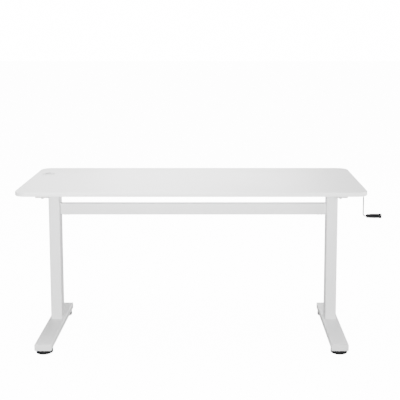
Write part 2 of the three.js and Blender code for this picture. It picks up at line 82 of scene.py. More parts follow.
class Side(Enum):
    """The two legs of the desk; the value is the sign of their x."""

    LEFT = -1
    RIGHT = 1

    @property
    def word(self) -> str:
        """The side as it stands in a node's name."""
        return self.name.lower()


class End(Enum):
    """The two ends of a foot; the value is the sign of their y."""

    FRONT = -1
    REAR = 1

    @property
    def word(self) -> str:
        """The end as it stands in a node's name."""
        return self.name.lower()


class Axis(Enum):
    """A direction to lay a turned or swept piece along."""

    X = (1.0, 0.0, 0.0)
    Y = (0.0, 1.0, 0.0)
    Z = (0.0, 0.0, 1.0)


# ---------------------------------------------------------------------------
# Shader graph
# ---------------------------------------------------------------------------


@dataclass(frozen=True)
class Wire:
    """A shader socket that can be added, subtracted and multiplied like a number."""

    graph: "Graph"
    socket: bpy.types.NodeSocket

    def _math(self, operation: str, first: Value, second: Value) -> "Wire":
        """Joins two values with a Math node."""
        return self.graph.node("ShaderNodeMath", {"operation": operation}, {0: first, 1: second})

    def __add__(self, other: Value) -> "Wire":
        """The sum of two values."""
        return self._math("ADD", self, other)

    def __radd__(self, other: Value) -> "Wire":
        """The sum, with a number on the left."""
        return self._math("ADD", other, self)

    def __sub__(self, other: Value) -> "Wire":
        """The difference of two values."""
        return self._math("SUBTRACT", self, other)

    def __rsub__(self, other: Value) -> "Wire":
        """The difference, with a number on the left."""
        return self._math("SUBTRACT", other, self)

    def __mul__(self, other: Value) -> "Wire":
        """The product of two values."""
        return self._math("MULTIPLY", self, other)

    def __rmul__(self, other: Value) -> "Wire":
        """The product, with a number on the left."""
        return self._math("MULTIPLY", other, self)


Value = Union[Wire, float, Sequence[float]]


class Graph:
    """The node tree of one material, with a Principled shader at its end."""

    def __init__(self, name: str) -> None:
        """Makes an empty material.

        Args:
            name: The material's name.
        """
        self.material = bpy.data.materials.new(name)
        self.material.use_nodes = True
        self.tree = self.material.node_tree
        self.tree.nodes.clear()
        output = self.tree.nodes.new("ShaderNodeOutputMaterial")
        self.shader = self.tree.nodes.new("ShaderNodeBsdfPrincipled")
        self.tree.links.new(self.shader.outputs[0], output.inputs["Surface"])

    def node(
        self,
        kind: str,
        settings: dict[str, object],
        inputs: dict[Union[int, str], Value],
        output: Union[int, str] = 0,
    ) -> Wire:
        """Adds any node.

        Args:
            kind: Blender's name of the node's type.
            settings: Attributes of the node; "stops" sets a colour ramp's stops.
            inputs: Values or wires for its sockets.
            output: The socket that is returned.

        Returns:
            The output as a wire.
        """
        made = self.tree.nodes.new(kind)
        for key, value in settings.items():
            if key == "stops":
                self._ramp(made, value)
            else:
                setattr(made, key, value)
        for key, value in inputs.items():
            self.feed(made.inputs[key], value)
        return Wire(self, made.outputs[output])

    def _ramp(self, made: bpy.types.Node, stops: Sequence[tuple[float, Sequence[float]]]) -> None:
        """Sets the stops of a colour ramp.

        Args:
            made: The node.
            stops: Positions and colours of its stops.
        """
        elements = made.color_ramp.elements
        while len(elements) < len(stops):
            elements.new(0.5)
        for element, (place, color) in zip(elements, stops):
            element.position = place
            element.color = (*color, 1.0)

    def feed(self, socket: bpy.types.NodeSocket, value: Value) -> None:
        """Links a wire to a socket, or sets the socket's own value.

        Args:
            socket: The socket.
            value: The number, colour or link.
        """
        if isinstance(value, Wire):
            self.tree.links.new(value.socket, socket)
        elif isinstance(value, (int, float)):
            socket.default_value = value
        else:
            wanted = len(socket.default_value)
            socket.default_value = (*value, 1.0)[:wanted]

    def set(self, name: str, value: Value) -> None:
        """Sets or links one input of the shader."""
        self.feed(self.shader.inputs[name], value)

    def place(self) -> Wire:
        """The object's own coordinates, in metres."""
        return self.node("ShaderNodeTexCoord", {}, {}, "Object")

    def stretched(self, scale: Point) -> Wire:
        """The object's coordinates, multiplied along each axis.

        Args:
            scale: How much each axis is stretched.

        Returns:
            The coordinates.
        """
        return self.node(
            "ShaderNodeVectorMath",
            {"operation": "MULTIPLY"},
            {0: self.place(), 1: scale},
        )

    def noise(self, scale: float, detail: float = 3.0, vector: Optional[Wire] = None) -> Wire:
        """Fractal noise.

        Args:
            scale: Cells per metre.
            detail: Octaves.
            vector: Coordinates, if not the object's own.

        Returns:
            A value round one half.
        """
        inputs = {
            "Vector": vector or self.place(),
            "Scale": scale,
            "Detail": detail,
            "Roughness": 0.55,
        }
        return self.node("ShaderNodeTexNoise", {}, inputs, "Fac")

    def mix(self, factor: Value, first: Value, second: Value) -> Wire:
        """A colour between two colours.

        Args:
            factor: The share of the second colour.
            first: The first value.
            second: The second value.

        Returns:
            The colour.
        """
        made = self.tree.nodes.new("ShaderNodeMix")
        made.data_type = "RGBA"
        self.feed(made.inputs[0], factor)
        self.feed(made.inputs[6], first)
        self.feed(made.inputs[7], second)
        return Wire(self, made.outputs[2])

    def span(self, value: Wire, low: float, high: float) -> Wire:
        """Maps the middle range of a noise to the range from low to high."""
        inputs = {"Value": value, "From Min": 0.3, "From Max": 0.7, "To Min": low, "To Max": high}
        return self.node("ShaderNodeMapRange", {}, inputs)

    def bump(self, height: Wire, distance: float, under: Optional[Wire] = None) -> Wire:
        """Turns a height from 0 to 1 into a normal.

        Args:
            height: The height.
            distance: How far a height of one stands out, in metres.
            under: A normal that this one lies on.

        Returns:
            The normal.
        """
        inputs: dict[Union[int, str], Value] = {"Height": height, "Distance": distance}
        if under is not None:
            inputs["Normal"] = under
        return self.node("ShaderNodeBump", {}, inputs)


# ---------------------------------------------------------------------------
# Finishes
# ---------------------------------------------------------------------------


@dataclass(frozen=True)
class Finish:
    """A surface finish; the subclasses say what it looks like.

    Args:
        name: The material's name.
        slot: The record's material slot that it belongs to.
        color: Its main colour.
        roughness: Its roughness where it is clean.
    """

    name: str
    slot: str
    color: Point
    roughness: float

    def material(self) -> bpy.types.Material:
        """The material, made the first time it is asked for.

        Returns:
            The material.
        """
        found = bpy.data.materials.get(self.name)
        if found is not None:
            return found
        graph = Graph(self.name)
        self.paint(graph)
        return graph.material

    def paint(self, graph: Graph) -> None:
        """Fills the graph; each subclass has its own."""
        raise NotImplementedError

    def tone(self, share: float) -> Point:
        """The main colour, multiplied."""
        return tuple(channel * share for channel in self.color)


@dataclass(frozen=True)
class PowderCoat(Finish):
    """Baked powder paint: orange peel, a fine speckle and faint rubbing."""

    def paint(self, graph: Graph) -> None:
        """Builds the paint.

        Args:
            graph: The material's graph.
        """
        cloud = graph.span(graph.noise(7.0, 2.0), 0.0, 1.0)
        speckle = graph.noise(2600.0, 1.0)
        base = graph.mix(cloud, self.tone(0.975), self.color)
        base = graph.mix(graph.span(speckle, 0.0, 0.12), base, self.tone(0.86))
        peel = graph.noise(620.0, 2.0)
        rub = graph.span(graph.noise(46.0, 4.0), -0.05, 0.07)
        graph.set("Base Color", base)
        graph.set("Roughness", self.roughness + rub + (speckle - 0.5) * 0.1)
        graph.set("Normal", graph.bump(peel, 0.00022, graph.bump(speckle, 0.00003)))
        graph.set("Specular IOR Level", 0.42)


@dataclass(frozen=True)
class Laminate(Finish):
    """Melamine face of a board, with a pearl grain pressed into it."""

    def paint(self, graph: Graph) -> None:
        """Builds the laminate.

        Args:
            graph: The material's graph.
        """
        cloud = graph.span(graph.noise(3.2, 3.0), 0.0, 1.0)
        pearl = graph.noise(1500.0, 2.0)
        print_dots = graph.noise(5200.0, 0.0)
        base = graph.mix(cloud, self.tone(0.982), self.color)
        base = graph.mix(graph.span(print_dots, 0.0, 0.06), base, self.tone(0.9))
        wipes = graph.noise(9.0, 5.0, graph.stretched((0.35, 1.0, 1.0)))
        graph.set("Base Color", base)
        graph.set("Roughness", self.roughness + graph.span(wipes, -0.05, 0.05))
        graph.set("Normal", graph.bump(pearl, 0.00009))
        graph.set("Specular IOR Level", 0.45)


@dataclass(frozen=True)
class EdgeBand(Finish):
    """Plastic strip glued round a board: finer grain, long faint streaks."""

    def paint(self, graph: Graph) -> None:
        """Builds the strip.

        Args:
            graph: The material's graph.
        """
        streak = graph.noise(30.0, 3.0, graph.stretched((0.6, 0.6, 26.0)))
        grain = graph.noise(2200.0, 2.0)
        base = graph.mix(graph.span(streak, 0.0, 1.0), self.tone(0.975), self.color)
        graph.set("Base Color", base)
        graph.set("Roughness", self.roughness + graph.span(streak, -0.05, 0.05))
        graph.set("Normal", graph.bump(grain, 0.00005, graph.bump(streak, 0.00008)))


@dataclass(frozen=True)
class MouldedPlastic(Finish):
    """Injection-moulded plastic with a spark-eroded grain.

    Args:
        grain: Cells of the grain per metre.
        depth: Depth of the grain, in metres.
        scuff: How strongly rubbing lightens and polishes it, from 0 to 1.
        shine: Strength of its reflections.
    """

    grain: float = 1400.0
    depth: float = 0.00003
    scuff: float = 0.15
    shine: float = 0.45

    def paint(self, graph: Graph) -> None:
        """Builds the plastic.

        Args:
            graph: The material's graph.
        """
        flow = graph.span(graph.noise(38.0, 4.0), 0.0, 1.0)
        grain = graph.noise(self.grain, 2.0)
        worn = graph.span(graph.noise(150.0, 5.0), 0.0, 1.0)
        lifted = tuple(channel + (0.35 - channel) * 0.12 * self.scuff for channel in self.color)
        base = graph.mix(flow, self.tone(0.94), self.color)
        base = graph.mix(worn * (self.scuff * 0.5), base, lifted)
        graph.set("Base Color", base)
        graph.set("Roughness", self.roughness + (flow - 0.5) * 0.08 - worn * (0.1 * self.scuff))
        graph.set("Normal", graph.bump(grain, self.depth))
        graph.set("Specular IOR Level", self.shine)


@dataclass(frozen=True)
class PlatedSteel(Finish):
    """Plated or blackened steel with drawing lines along one axis.

    Args:
        lines: How many times finer the pattern is along each axis.
        stain: Colour of the faint bloom on the plating.
    """

    lines: Point = (1.0, 30.0, 30.0)
    stain: Point = (0.5, 0.48, 0.42)

    def paint(self, graph: Graph) -> None:
        """Builds the metal.

        Args:
            graph: The material's graph.
        """
        drawn = graph.noise(60.0, 5.0, graph.stretched(self.lines))
        bloom = graph.span(graph.noise(55.0, 4.0), 0.0, 0.3)
        pits = graph.noise(1800.0, 2.0)
        base = graph.mix(graph.span(drawn, 0.0, 1.0), self.tone(0.86), self.color)
        graph.set("Base Color", graph.mix(bloom, base, self.stain))
        graph.set("Metallic", 1.0)
        graph.set("Roughness", self.roughness + graph.span(drawn, -0.06, 0.1))
        graph.set("Normal", graph.bump(drawn, 0.00001, graph.bump(pits, 0.000004)))


PAINT = PowderCoat("frame_powder_coat", "frame_paint", (0.72, 0.723, 0.725), 0.42)
# A lighter copy of the frame paint for the crossbar alone: painted light that brightens the bar
# against the columns.
LIT_BAR_PAINT = PowderCoat("bar_powder_coat", "frame_paint", (0.8, 0.803, 0.805), 0.42)
# The laminate face is a darker copy of the board's white, set below the edge band: painted shade on
# the top and underside.
SHADED_BOARD_FACE = Laminate("board_laminate", "board", (0.81, 0.808, 0.806), 0.46)
BOARD_EDGE = EdgeBand("board_edge_band", "board", (0.89, 0.89, 0.888), 0.4)
WHITE = MouldedPlastic("white_moulding", "white_plastic", (0.62, 0.622, 0.62), 0.4)
PAD_BLACK = MouldedPlastic(
    "pad_black", "black_plastic", (0.004, 0.004, 0.0044), 0.55, 900.0, 0.00003, 0.12, 0.15
)
GRIP_BLACK = MouldedPlastic(
    "grip_black", "black_plastic", (0.004, 0.004, 0.0044), 0.36, 1100.0, 0.000006, 0.1, 0.16
)
# Near-black material for the inside of the white grommet ring: painted shade for the shadowed hole
# under the cap.
GROMMET_SHADE = MouldedPlastic(
    "grommet_liner", "white_plastic", (0.03, 0.03, 0.032), 0.7, 900.0, 0.00004, 0.1, 0.1
)
NYLON = MouldedPlastic("grey_nylon", "grey_plastic", (0.1, 0.105, 0.11), 0.45)
CRANK_STEEL = PlatedSteel(
    "crank_steel",
    "dark_steel",
    (0.02, 0.021, 0.023),
    0.4,
    (1.0, 30.0, 30.0),
    (0.04, 0.037, 0.033),
)
GEAR_STEEL = PlatedSteel("gear_steel", "dark_steel", (0.24, 0.245, 0.25), 0.34, (8.0, 8.0, 8.0))
SCREW_STEEL = PlatedSteel(
    "bright_steel", "bright_steel", (0.62, 0.63, 0.64), 0.28, (20.0, 20.0, 2.0)
)
CASTING = PlatedSteel("zinc_casting", "zinc", (0.5, 0.51, 0.52), 0.5, (6.0, 6.0, 6.0))
BLACKENED = PlatedSteel(
    "blackened_steel",
    "black_steel",
    (0.03, 0.03, 0.032),
    0.42,
    (12.0, 12.0, 12.0),
    (0.05, 0.045, 0.04),
)
TURNED_BRASS = PlatedSteel(
    "turned_brass", "brass", (0.62, 0.46, 0.2), 0.3, (3.0, 3.0, 40.0), (0.35, 0.24, 0.1)
)


# ---------------------------------------------------------------------------
# Modelling
# ---------------------------------------------------------------------------


class Bench:
    """Modelling steps on one piece at a time, made with Blender's operators."""

    @staticmethod
    def clear() -> None:
        """Deselects every object."""
        if bpy.context.object is not None and bpy.context.object.mode != "OBJECT":
            bpy.ops.object.mode_set(mode="OBJECT")
        bpy.ops.object.select_all(action="DESELECT")

    @classmethod
    def hold(cls, piece: bpy.types.Object) -> None:
        """Makes a piece the only one selected, and the active one.

        Args:
            piece: The piece.
        """
        cls.clear()
        piece.select_set(True)
        bpy.context.view_layer.objects.active = piece

    @classmethod
    def named(cls, name: str) -> bpy.types.Object:
        """Names the new active piece and puts its place into its mesh.

        Args:
            name: The new piece's name.

        Returns:
            The piece.
        """
        piece = bpy.context.object
        piece.name = name
        piece.data.name = name
        bpy.ops.object.transform_apply(location=True, rotation=True, scale=True)
        return piece

    @classmethod
    def block(cls, name: str, low: Sequence[float], high: Sequence[float]) -> bpy.types.Object:
        """A block between two corners, to be shaped further.

        Args:
            name: The new piece's name.
            low: The lowest corner.
            high: The highest corner.

        Returns:
            The piece.
        """
        cls.clear()
        low, high = Vector(low), Vector(high)
        bpy.ops.mesh.primitive_cube_add(size=1.0, location=(low + high) / 2, scale=high - low)
        return cls.named(name)

    @classmethod
    def rod(
        cls,
        name: str,
        centre: Sequence[float],
        radius: float,
        length: float,
        axis: Axis = Axis.Z,
        sides: int = 48,
    ) -> bpy.types.Object:
        """A round bar centred on a point and laid along an axis.

        Args:
            name: The new piece's name.
            centre: The centre.
            radius: The radius.
            length: Its length.
            axis: The axis.
            sides: Facets round it.

        Returns:
            The piece.
        """
        cls.clear()
        turn = Vector((0, 0, 1)).rotation_difference(Vector(axis.value)).to_euler()
        bpy.ops.mesh.primitive_cylinder_add(
            vertices=sides, radius=radius, depth=length, location=centre, rotation=turn
        )
        return cls.named(name)

    @classmethod
    def pick(
        cls,
        piece: bpy.types.Object,
        faces: Optional[Callable[[bmesh.types.BMFace], bool]] = None,
        edges: Optional[Callable[[bmesh.types.BMEdge], bool]] = None,
    ) -> int:
        """Enters edit mode and selects faces or edges by a test.

        Args:
            piece: The piece.
            faces: A test of a face.
            edges: A test of an edge.

        Returns:
            How many were selected.
        """
        cls.hold(piece)
        bpy.ops.object.mode_set(mode="EDIT")
        bpy.ops.mesh.select_mode(type="FACE" if faces else "EDGE")
        bpy.ops.mesh.select_all(action="DESELECT")
        mesh = bmesh.from_edit_mesh(piece.data)
        mesh.normal_update()
        if faces:
            found = [face for face in mesh.faces if faces(face)]
        else:
            found = [edge for edge in mesh.edges if edges(edge)]
        for item in found:
            item.select_set(True)
        mesh.select_flush_mode()
        bmesh.update_edit_mesh(piece.data)
        return len(found)

    @classmethod
    def round_edges(
        cls,
        piece: bpy.types.Object,
        test: Callable[[bmesh.types.BMEdge], bool],
        radius: float,
        segments: int,
    ) -> None:
        """Rounds the edges that pass a test.

        Args:
            piece: The piece.
            test: A test for what is meant.
            radius: The radius.
            segments: Its steps.
        """
        cls.pick(piece, edges=test)
        bpy.ops.mesh.bevel(offset=radius, segments=segments, profile=0.5, affect="EDGES")
        cls.clear()

    @classmethod
    def soften(
        cls, piece: bpy.types.Object, width: float, segments: int = 2, angle: float = 40.0
    ) -> None:
        """Rounds every edge sharper than an angle with a Bevel modifier.

        Args:
            piece: The piece.
            width: Width of the rounding.
            segments: Its steps.
            angle: Only edges sharper than this are rounded.
        """
        made = piece.modifiers.new("soften", "BEVEL")
        made.width = width
        made.segments = segments
        made.limit_method = "ANGLE"
        made.angle_limit = math.radians(angle)
        made.harden_normals = False
        cls.apply(piece, made)

    @classmethod
    def apply(cls, piece: bpy.types.Object, modifier: bpy.types.Modifier) -> None:
        """Applies a modifier."""
        cls.hold(piece)
        bpy.ops.object.modifier_apply(modifier=modifier.name)

    @classmethod
    def cut(cls, piece: bpy.types.Object, *tools: bpy.types.Object) -> None:
        """Takes the tools' shapes away from a piece, and removes the tools.

        Args:
            piece: The piece.
            tools: The pieces that cut, which are used up.
        """
        for tool in tools:
            made = piece.modifiers.new("cut", "BOOLEAN")
            made.operation = "DIFFERENCE"
            made.solver = "EXACT"
            made.object = tool
            cls.apply(piece, made)
            bpy.data.objects.remove(tool)

    @classmethod
    def shell(cls, piece: bpy.types.Object, wall: float) -> None:
        """Gives an open skin a wall that grows inwards.

        Args:
            piece: The piece.
            wall: Thickness of the wall.
        """
        made = piece.modifiers.new("wall", "SOLIDIFY")
        made.thickness = wall
        made.offset = -1.0
        made.use_even_offset = True
        cls.apply(piece, made)

    @classmethod
    def join(cls, name: str, pieces: Sequence[bpy.types.Object]) -> bpy.types.Object:
        """Joins pieces into one with a name.

        Args:
            name: The new piece's name.
            pieces: The pieces, which become one.

        Returns:
            The piece.
        """
        cls.hold(pieces[0])
        for piece in pieces:
            piece.select_set(True)
        bpy.ops.object.join()
        return cls.named(name)

    @classmethod
    def clean(cls, piece: bpy.types.Object, near: float = 0.00001) -> None:
        """Merges doubled points and turns every face outwards.

        Args:
            piece: The piece.
            near: Points closer than this become one.
        """
        cls.hold(piece)
        bpy.ops.object.mode_set(mode="EDIT")
        bpy.ops.mesh.select_all(action="SELECT")
        bpy.ops.mesh.remove_doubles(threshold=near)
        bpy.ops.mesh.normals_make_consistent(inside=False)
        cls.clear()

    @classmethod
    def smooth(cls, piece: bpy.types.Object, angle: float = 32.0) -> None:
        """Shades a piece smooth apart from its sharp edges.

        Args:
            piece: The piece.
            angle: Edges sharper than this stay sharp.
        """
        cls.hold(piece)
        bpy.ops.object.shade_smooth_by_angle(angle=math.radians(angle), keep_sharp_edges=True)
        cls.clear()

    @classmethod
    def start_line(cls, name: str, first: Point) -> bpy.types.Object:
        """A piece that holds one point, ready to be extruded.

        Args:
            name: The new piece's name.
            first: Where the line starts.

        Returns:
            The piece.
        """
        cls.clear()
        bpy.ops.mesh.primitive_plane_add(size=0.001, location=first)
        piece = cls.named(name)
        bpy.ops.object.mode_set(mode="EDIT")
        bpy.ops.mesh.select_mode(type="VERT")
        bpy.ops.mesh.select_all(action="SELECT")
        bpy.ops.mesh.merge(type="CENTER")
        bpy.ops.mesh.select_all(action="SELECT")
        return piece

    @classmethod
    def draw(cls, name: str, points: Sequence[Point], closed: bool) -> bpy.types.Object:
        """A line of edges through points, extruded one after the other.

        Args:
            name: The piece's name.
            points: The points.
            closed: Whether the last point joins the first.

        Returns:
            The piece, left in edit mode with everything selected.
        """
        piece = cls.start_line(name, points[0])
        loop = [*points, points[0]] if closed else points
        for start, stop in zip(loop, loop[1:]):
            step = Vector(stop) - Vector(start)
            bpy.ops.mesh.extrude_region_move(TRANSFORM_OT_translate={"value": step})
        bpy.ops.mesh.select_all(action="SELECT")
        bpy.ops.mesh.remove_doubles(threshold=0.000001)
        return piece

    @classmethod
    def lathe(
        cls,
        name: str,
        profile: Profile,
        centre: Sequence[float],
        axis: Axis = Axis.Z,
        sides: int = 64,
        closed: bool = False,
    ) -> bpy.types.Object:
        """Spins a profile round an axis.

        Args:
            name: The piece's name.
            profile: Radius and distance along the axis, in metres.
            centre: The point on the axis at distance 0.
            axis: The axis.
            sides: Steps in a full turn.
            closed: Whether the profile is a closed loop, as for a ring.

        Returns:
            The piece.
        """
        centre = Vector(centre)
        along = Vector(axis.value)
        out = Vector((0, 0, 1)) if axis is Axis.X else Vector((1, 0, 0))
        points = [tuple(centre + out * radius + along * height) for radius, height in profile]
        piece = cls.draw(name, points, closed)
        bpy.ops.mesh.spin(steps=sides, angle=math.tau, center=centre, axis=along)
        cls.clean(piece)
        return piece

    @classmethod
    def flute(
        cls,
        piece: bpy.types.Object,
        test: Callable[[bmesh.types.BMFace], bool],
        depth: float,
        border: float,
    ) -> None:
        """Sinks the faces that pass a test, each by itself.

        Args:
            piece: The piece.
            test: A test for what is meant.
            depth: How deep it goes.
            border: Width of the strip left round each face.
        """
        cls.pick(piece, faces=test)
        bpy.ops.mesh.inset(use_individual=True, thickness=border, depth=-depth)
        cls.clear()

    @classmethod
    def copy(cls, piece: bpy.types.Object, name: str, move: Sequence[float]) -> bpy.types.Object:
        """A copy with its own mesh, moved.

        Args:
            piece: The piece.
            name: The new piece's name.
            move: How far it moves.

        Returns:
            The piece.
        """
        made = bpy.data.objects.new(name, piece.data.copy())
        made.data.name = name
        bpy.context.scene.collection.objects.link(made)
        made.data.transform(Matrix.Translation(Vector(move)))
        return made

    @classmethod
    def mirror(cls, piece: bpy.types.Object, axis: Axis, middle: Vector) -> None:
        """Mirrors a piece about a point and turns its faces out again.

        Args:
            piece: The piece.
            axis: The axis.
            middle: The point.
        """
        across = Vector(axis.value)
        back = Matrix.Translation(-middle)
        piece.data.transform(Matrix.Translation(middle) @ Matrix.Scale(-1, 4, across) @ back)
        cls.clean(piece)

    @classmethod
    def thread(
        cls,
        name: str,
        centre: Sequence[float],
        low: float,
        high: float,
        outer: float,
        pitch: float,
        depth: float,
        sides: int = 20,
    ) -> bpy.types.Object:
        """A threaded bar with a real helix, made with the Screw modifier.

        Args:
            name: The piece's name.
            centre: A point on its axis; only x and y count.
            low: Height of its lower end.
            high: Height of its upper end.
            outer: Its outer radius.
            pitch: Height of one turn.
            depth: Depth of the thread.
            sides: Steps in a turn.

        Returns:
            The piece, with a core that closes its ends.
        """
        turns = int((high - low) / pitch) - 1
        x, y = centre[0], centre[1]
        root = outer - depth
        foot = root - depth / 2
        shape = ((foot, 0.0), (foot, 0.66), (root, 0.58), (outer, 0.46), (outer, 0.2), (root, 0.08))
        points = [(radius, 0.0, share * pitch) for radius, share in shape]
        piece = cls.draw(name, points, True)
        bpy.ops.object.mode_set(mode="OBJECT")
        made = piece.modifiers.new("helix", "SCREW")
        made.angle = math.tau
        made.screw_offset = pitch
        made.iterations = turns
        made.steps = made.render_steps = sides
        made.use_merge_vertices = True
        made.merge_threshold = 0.000005
        cls.apply(piece, made)
        piece.data.transform(Matrix.Translation((x, y, low + pitch * 0.3)))
        cls.hold(piece)
        bpy.ops.object.mode_set(mode="EDIT")
        bpy.ops.mesh.select_all(action="SELECT")
        bpy.ops.mesh.fill_holes(sides=0)
        core_profile = [
            (0.0, 0.0),
            (root - 0.6 * MM, 0.0),
            (root + HAIR, 0.7 * MM),
            (root + HAIR, high - low - 0.7 * MM),
            (root - 0.6 * MM, high - low),
            (0.0, high - low),
        ]
        core = cls.lathe(name + "_core", core_profile, (x, y, low), Axis.Z, sides)
        cls.clean(piece)
        return cls.join(name, [piece, core])


@dataclass
class Shop:
    """Keeps the fixed frame and settles each finished piece on its body.

    Args:
        models: The first of each kind of repeated piece, and the middle of its node.
    """

    frame: dict[str, object]
    models: dict[str, tuple[bpy.types.Object, Vector]] = field(default_factory=dict)

    def repeat(
        self,
        kind: str,
        name: str,
        node: str,
        make: Callable[[], bpy.types.Object],
        flip: Optional[Axis] = None,
    ) -> bpy.types.Object:
        """Models a repeated piece once, and copies it to the place of each later node.

        Args:
            kind: What the piece is.
            name: The piece's name.
            node: The CAD node at its place.
            make: Models the first one.
            flip: The axis along which a copy is mirrored.

        Returns:
            The piece.
        """
        low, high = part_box(node)
        middle = (low + high) / 2
        if kind not in self.models:
            self.models[kind] = (make(), middle)
            return self.models[kind][0]
        model, start = self.models[kind]
        piece = Bench.copy(model, name, middle - start)
        if flip:
            Bench.mirror(piece, flip, middle)
        return piece

    def settle(
        self,
        piece: bpy.types.Object,
        body: str,
        finish: Finish,
        *nodes: str,
        angle: float = 32.0,
    ) -> bpy.types.Object:
        """Dresses a piece, rides it on its body and lets it stand for CAD nodes.

        Args:
            piece: The finished piece.
            body: The CAD body it moves with.
            finish: Its finish.
            nodes: The CAD nodes it stands for.
            angle: Edges sharper than this stay sharp in the shading.

        Returns:
            The piece.
        """
        Bench.smooth(piece, angle)
        if not piece.data.materials:
            piece.data.materials.append(finish.material())
        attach(piece, body)
        if nodes:
            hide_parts(*nodes)
        LOG.info("%s rides on %s, %d faces", piece.name, body, len(piece.data.polygons))
        return piece

    def dress_node(self, node: str, finish: Finish) -> None:
        """Gives a CAD node that stays a finish.

        Args:
            node: The node's name.
            finish: The finish.
        """
        slots = self.frame["nodes"][node].material_slots
        if not slots:
            self.frame["nodes"][node].data.materials.append(finish.material())
        for material_slot in slots:
            material_slot.material = finish.material()
        LOG.info("%s keeps its CAD shape in %s", node, finish.name)


def upright(edge: bmesh.types.BMEdge) -> bool:
    """Whether an edge stands along z."""
    first, second = (vertex.co for vertex in edge.verts)
    return abs(first.x - second.x) < HAIR and abs(first.y - second.y) < HAIR


def lengthwise(axis: Axis) -> Callable[[bmesh.types.BMEdge], bool]:
    """A test for edges that lie along an axis.

    Args:
        axis: The axis.

    Returns:
        The test.
    """
    along = Vector(axis.value)

    def test(edge: bmesh.types.BMEdge) -> bool:
        """Whether the edge lies along the axis."""
        line = edge.verts[1].co - edge.verts[0].co
        return abs(line.normalized().dot(along)) > 0.999

    return test


def facing(direction: Point, share: float = 0.99) -> Callable[[bmesh.types.BMFace], bool]:
    """A test for faces that look in a direction."""
    along = Vector(direction)
    return lambda face: face.normal.dot(along) > share


def both_ends(axis: Axis) -> Callable[[bmesh.types.BMFace], bool]:
    """A test for the faces that close a piece at both ends of an axis."""
    along = Vector(axis.value)
    return lambda face: abs(face.normal.dot(along)) > 0.99


def rounded_tube(
    name: str,
    low: Vector,
    high: Vector,
    axis: Axis,
    radius: float,
    wall: float,
    segments: int = 8,
) -> bpy.types.Object:
    """A rectangular tube with round corners and slightly broken rims.

    Args:
        name: The piece's name.
        low: Its lowest corner.
        high: Its highest corner.
        axis: The axis it runs along.
        radius: Radius of its corners.
        wall: Thickness of its wall.
        segments: Facets of each corner.

    Returns:
        The piece.
    """
    piece = Bench.block(name, low, high)
    Bench.round_edges(piece, lengthwise(axis), radius, segments)
    Bench.pick(piece, faces=both_ends(axis))
    bpy.ops.mesh.delete(type="FACE")
    Bench.clear()
    Bench.shell(piece, wall)
    Bench.soften(piece, 0.3 * MM, 2, 60.0)
    return piece


# ---------------------------------------------------------------------------
# Tabletop
# ---------------------------------------------------------------------------


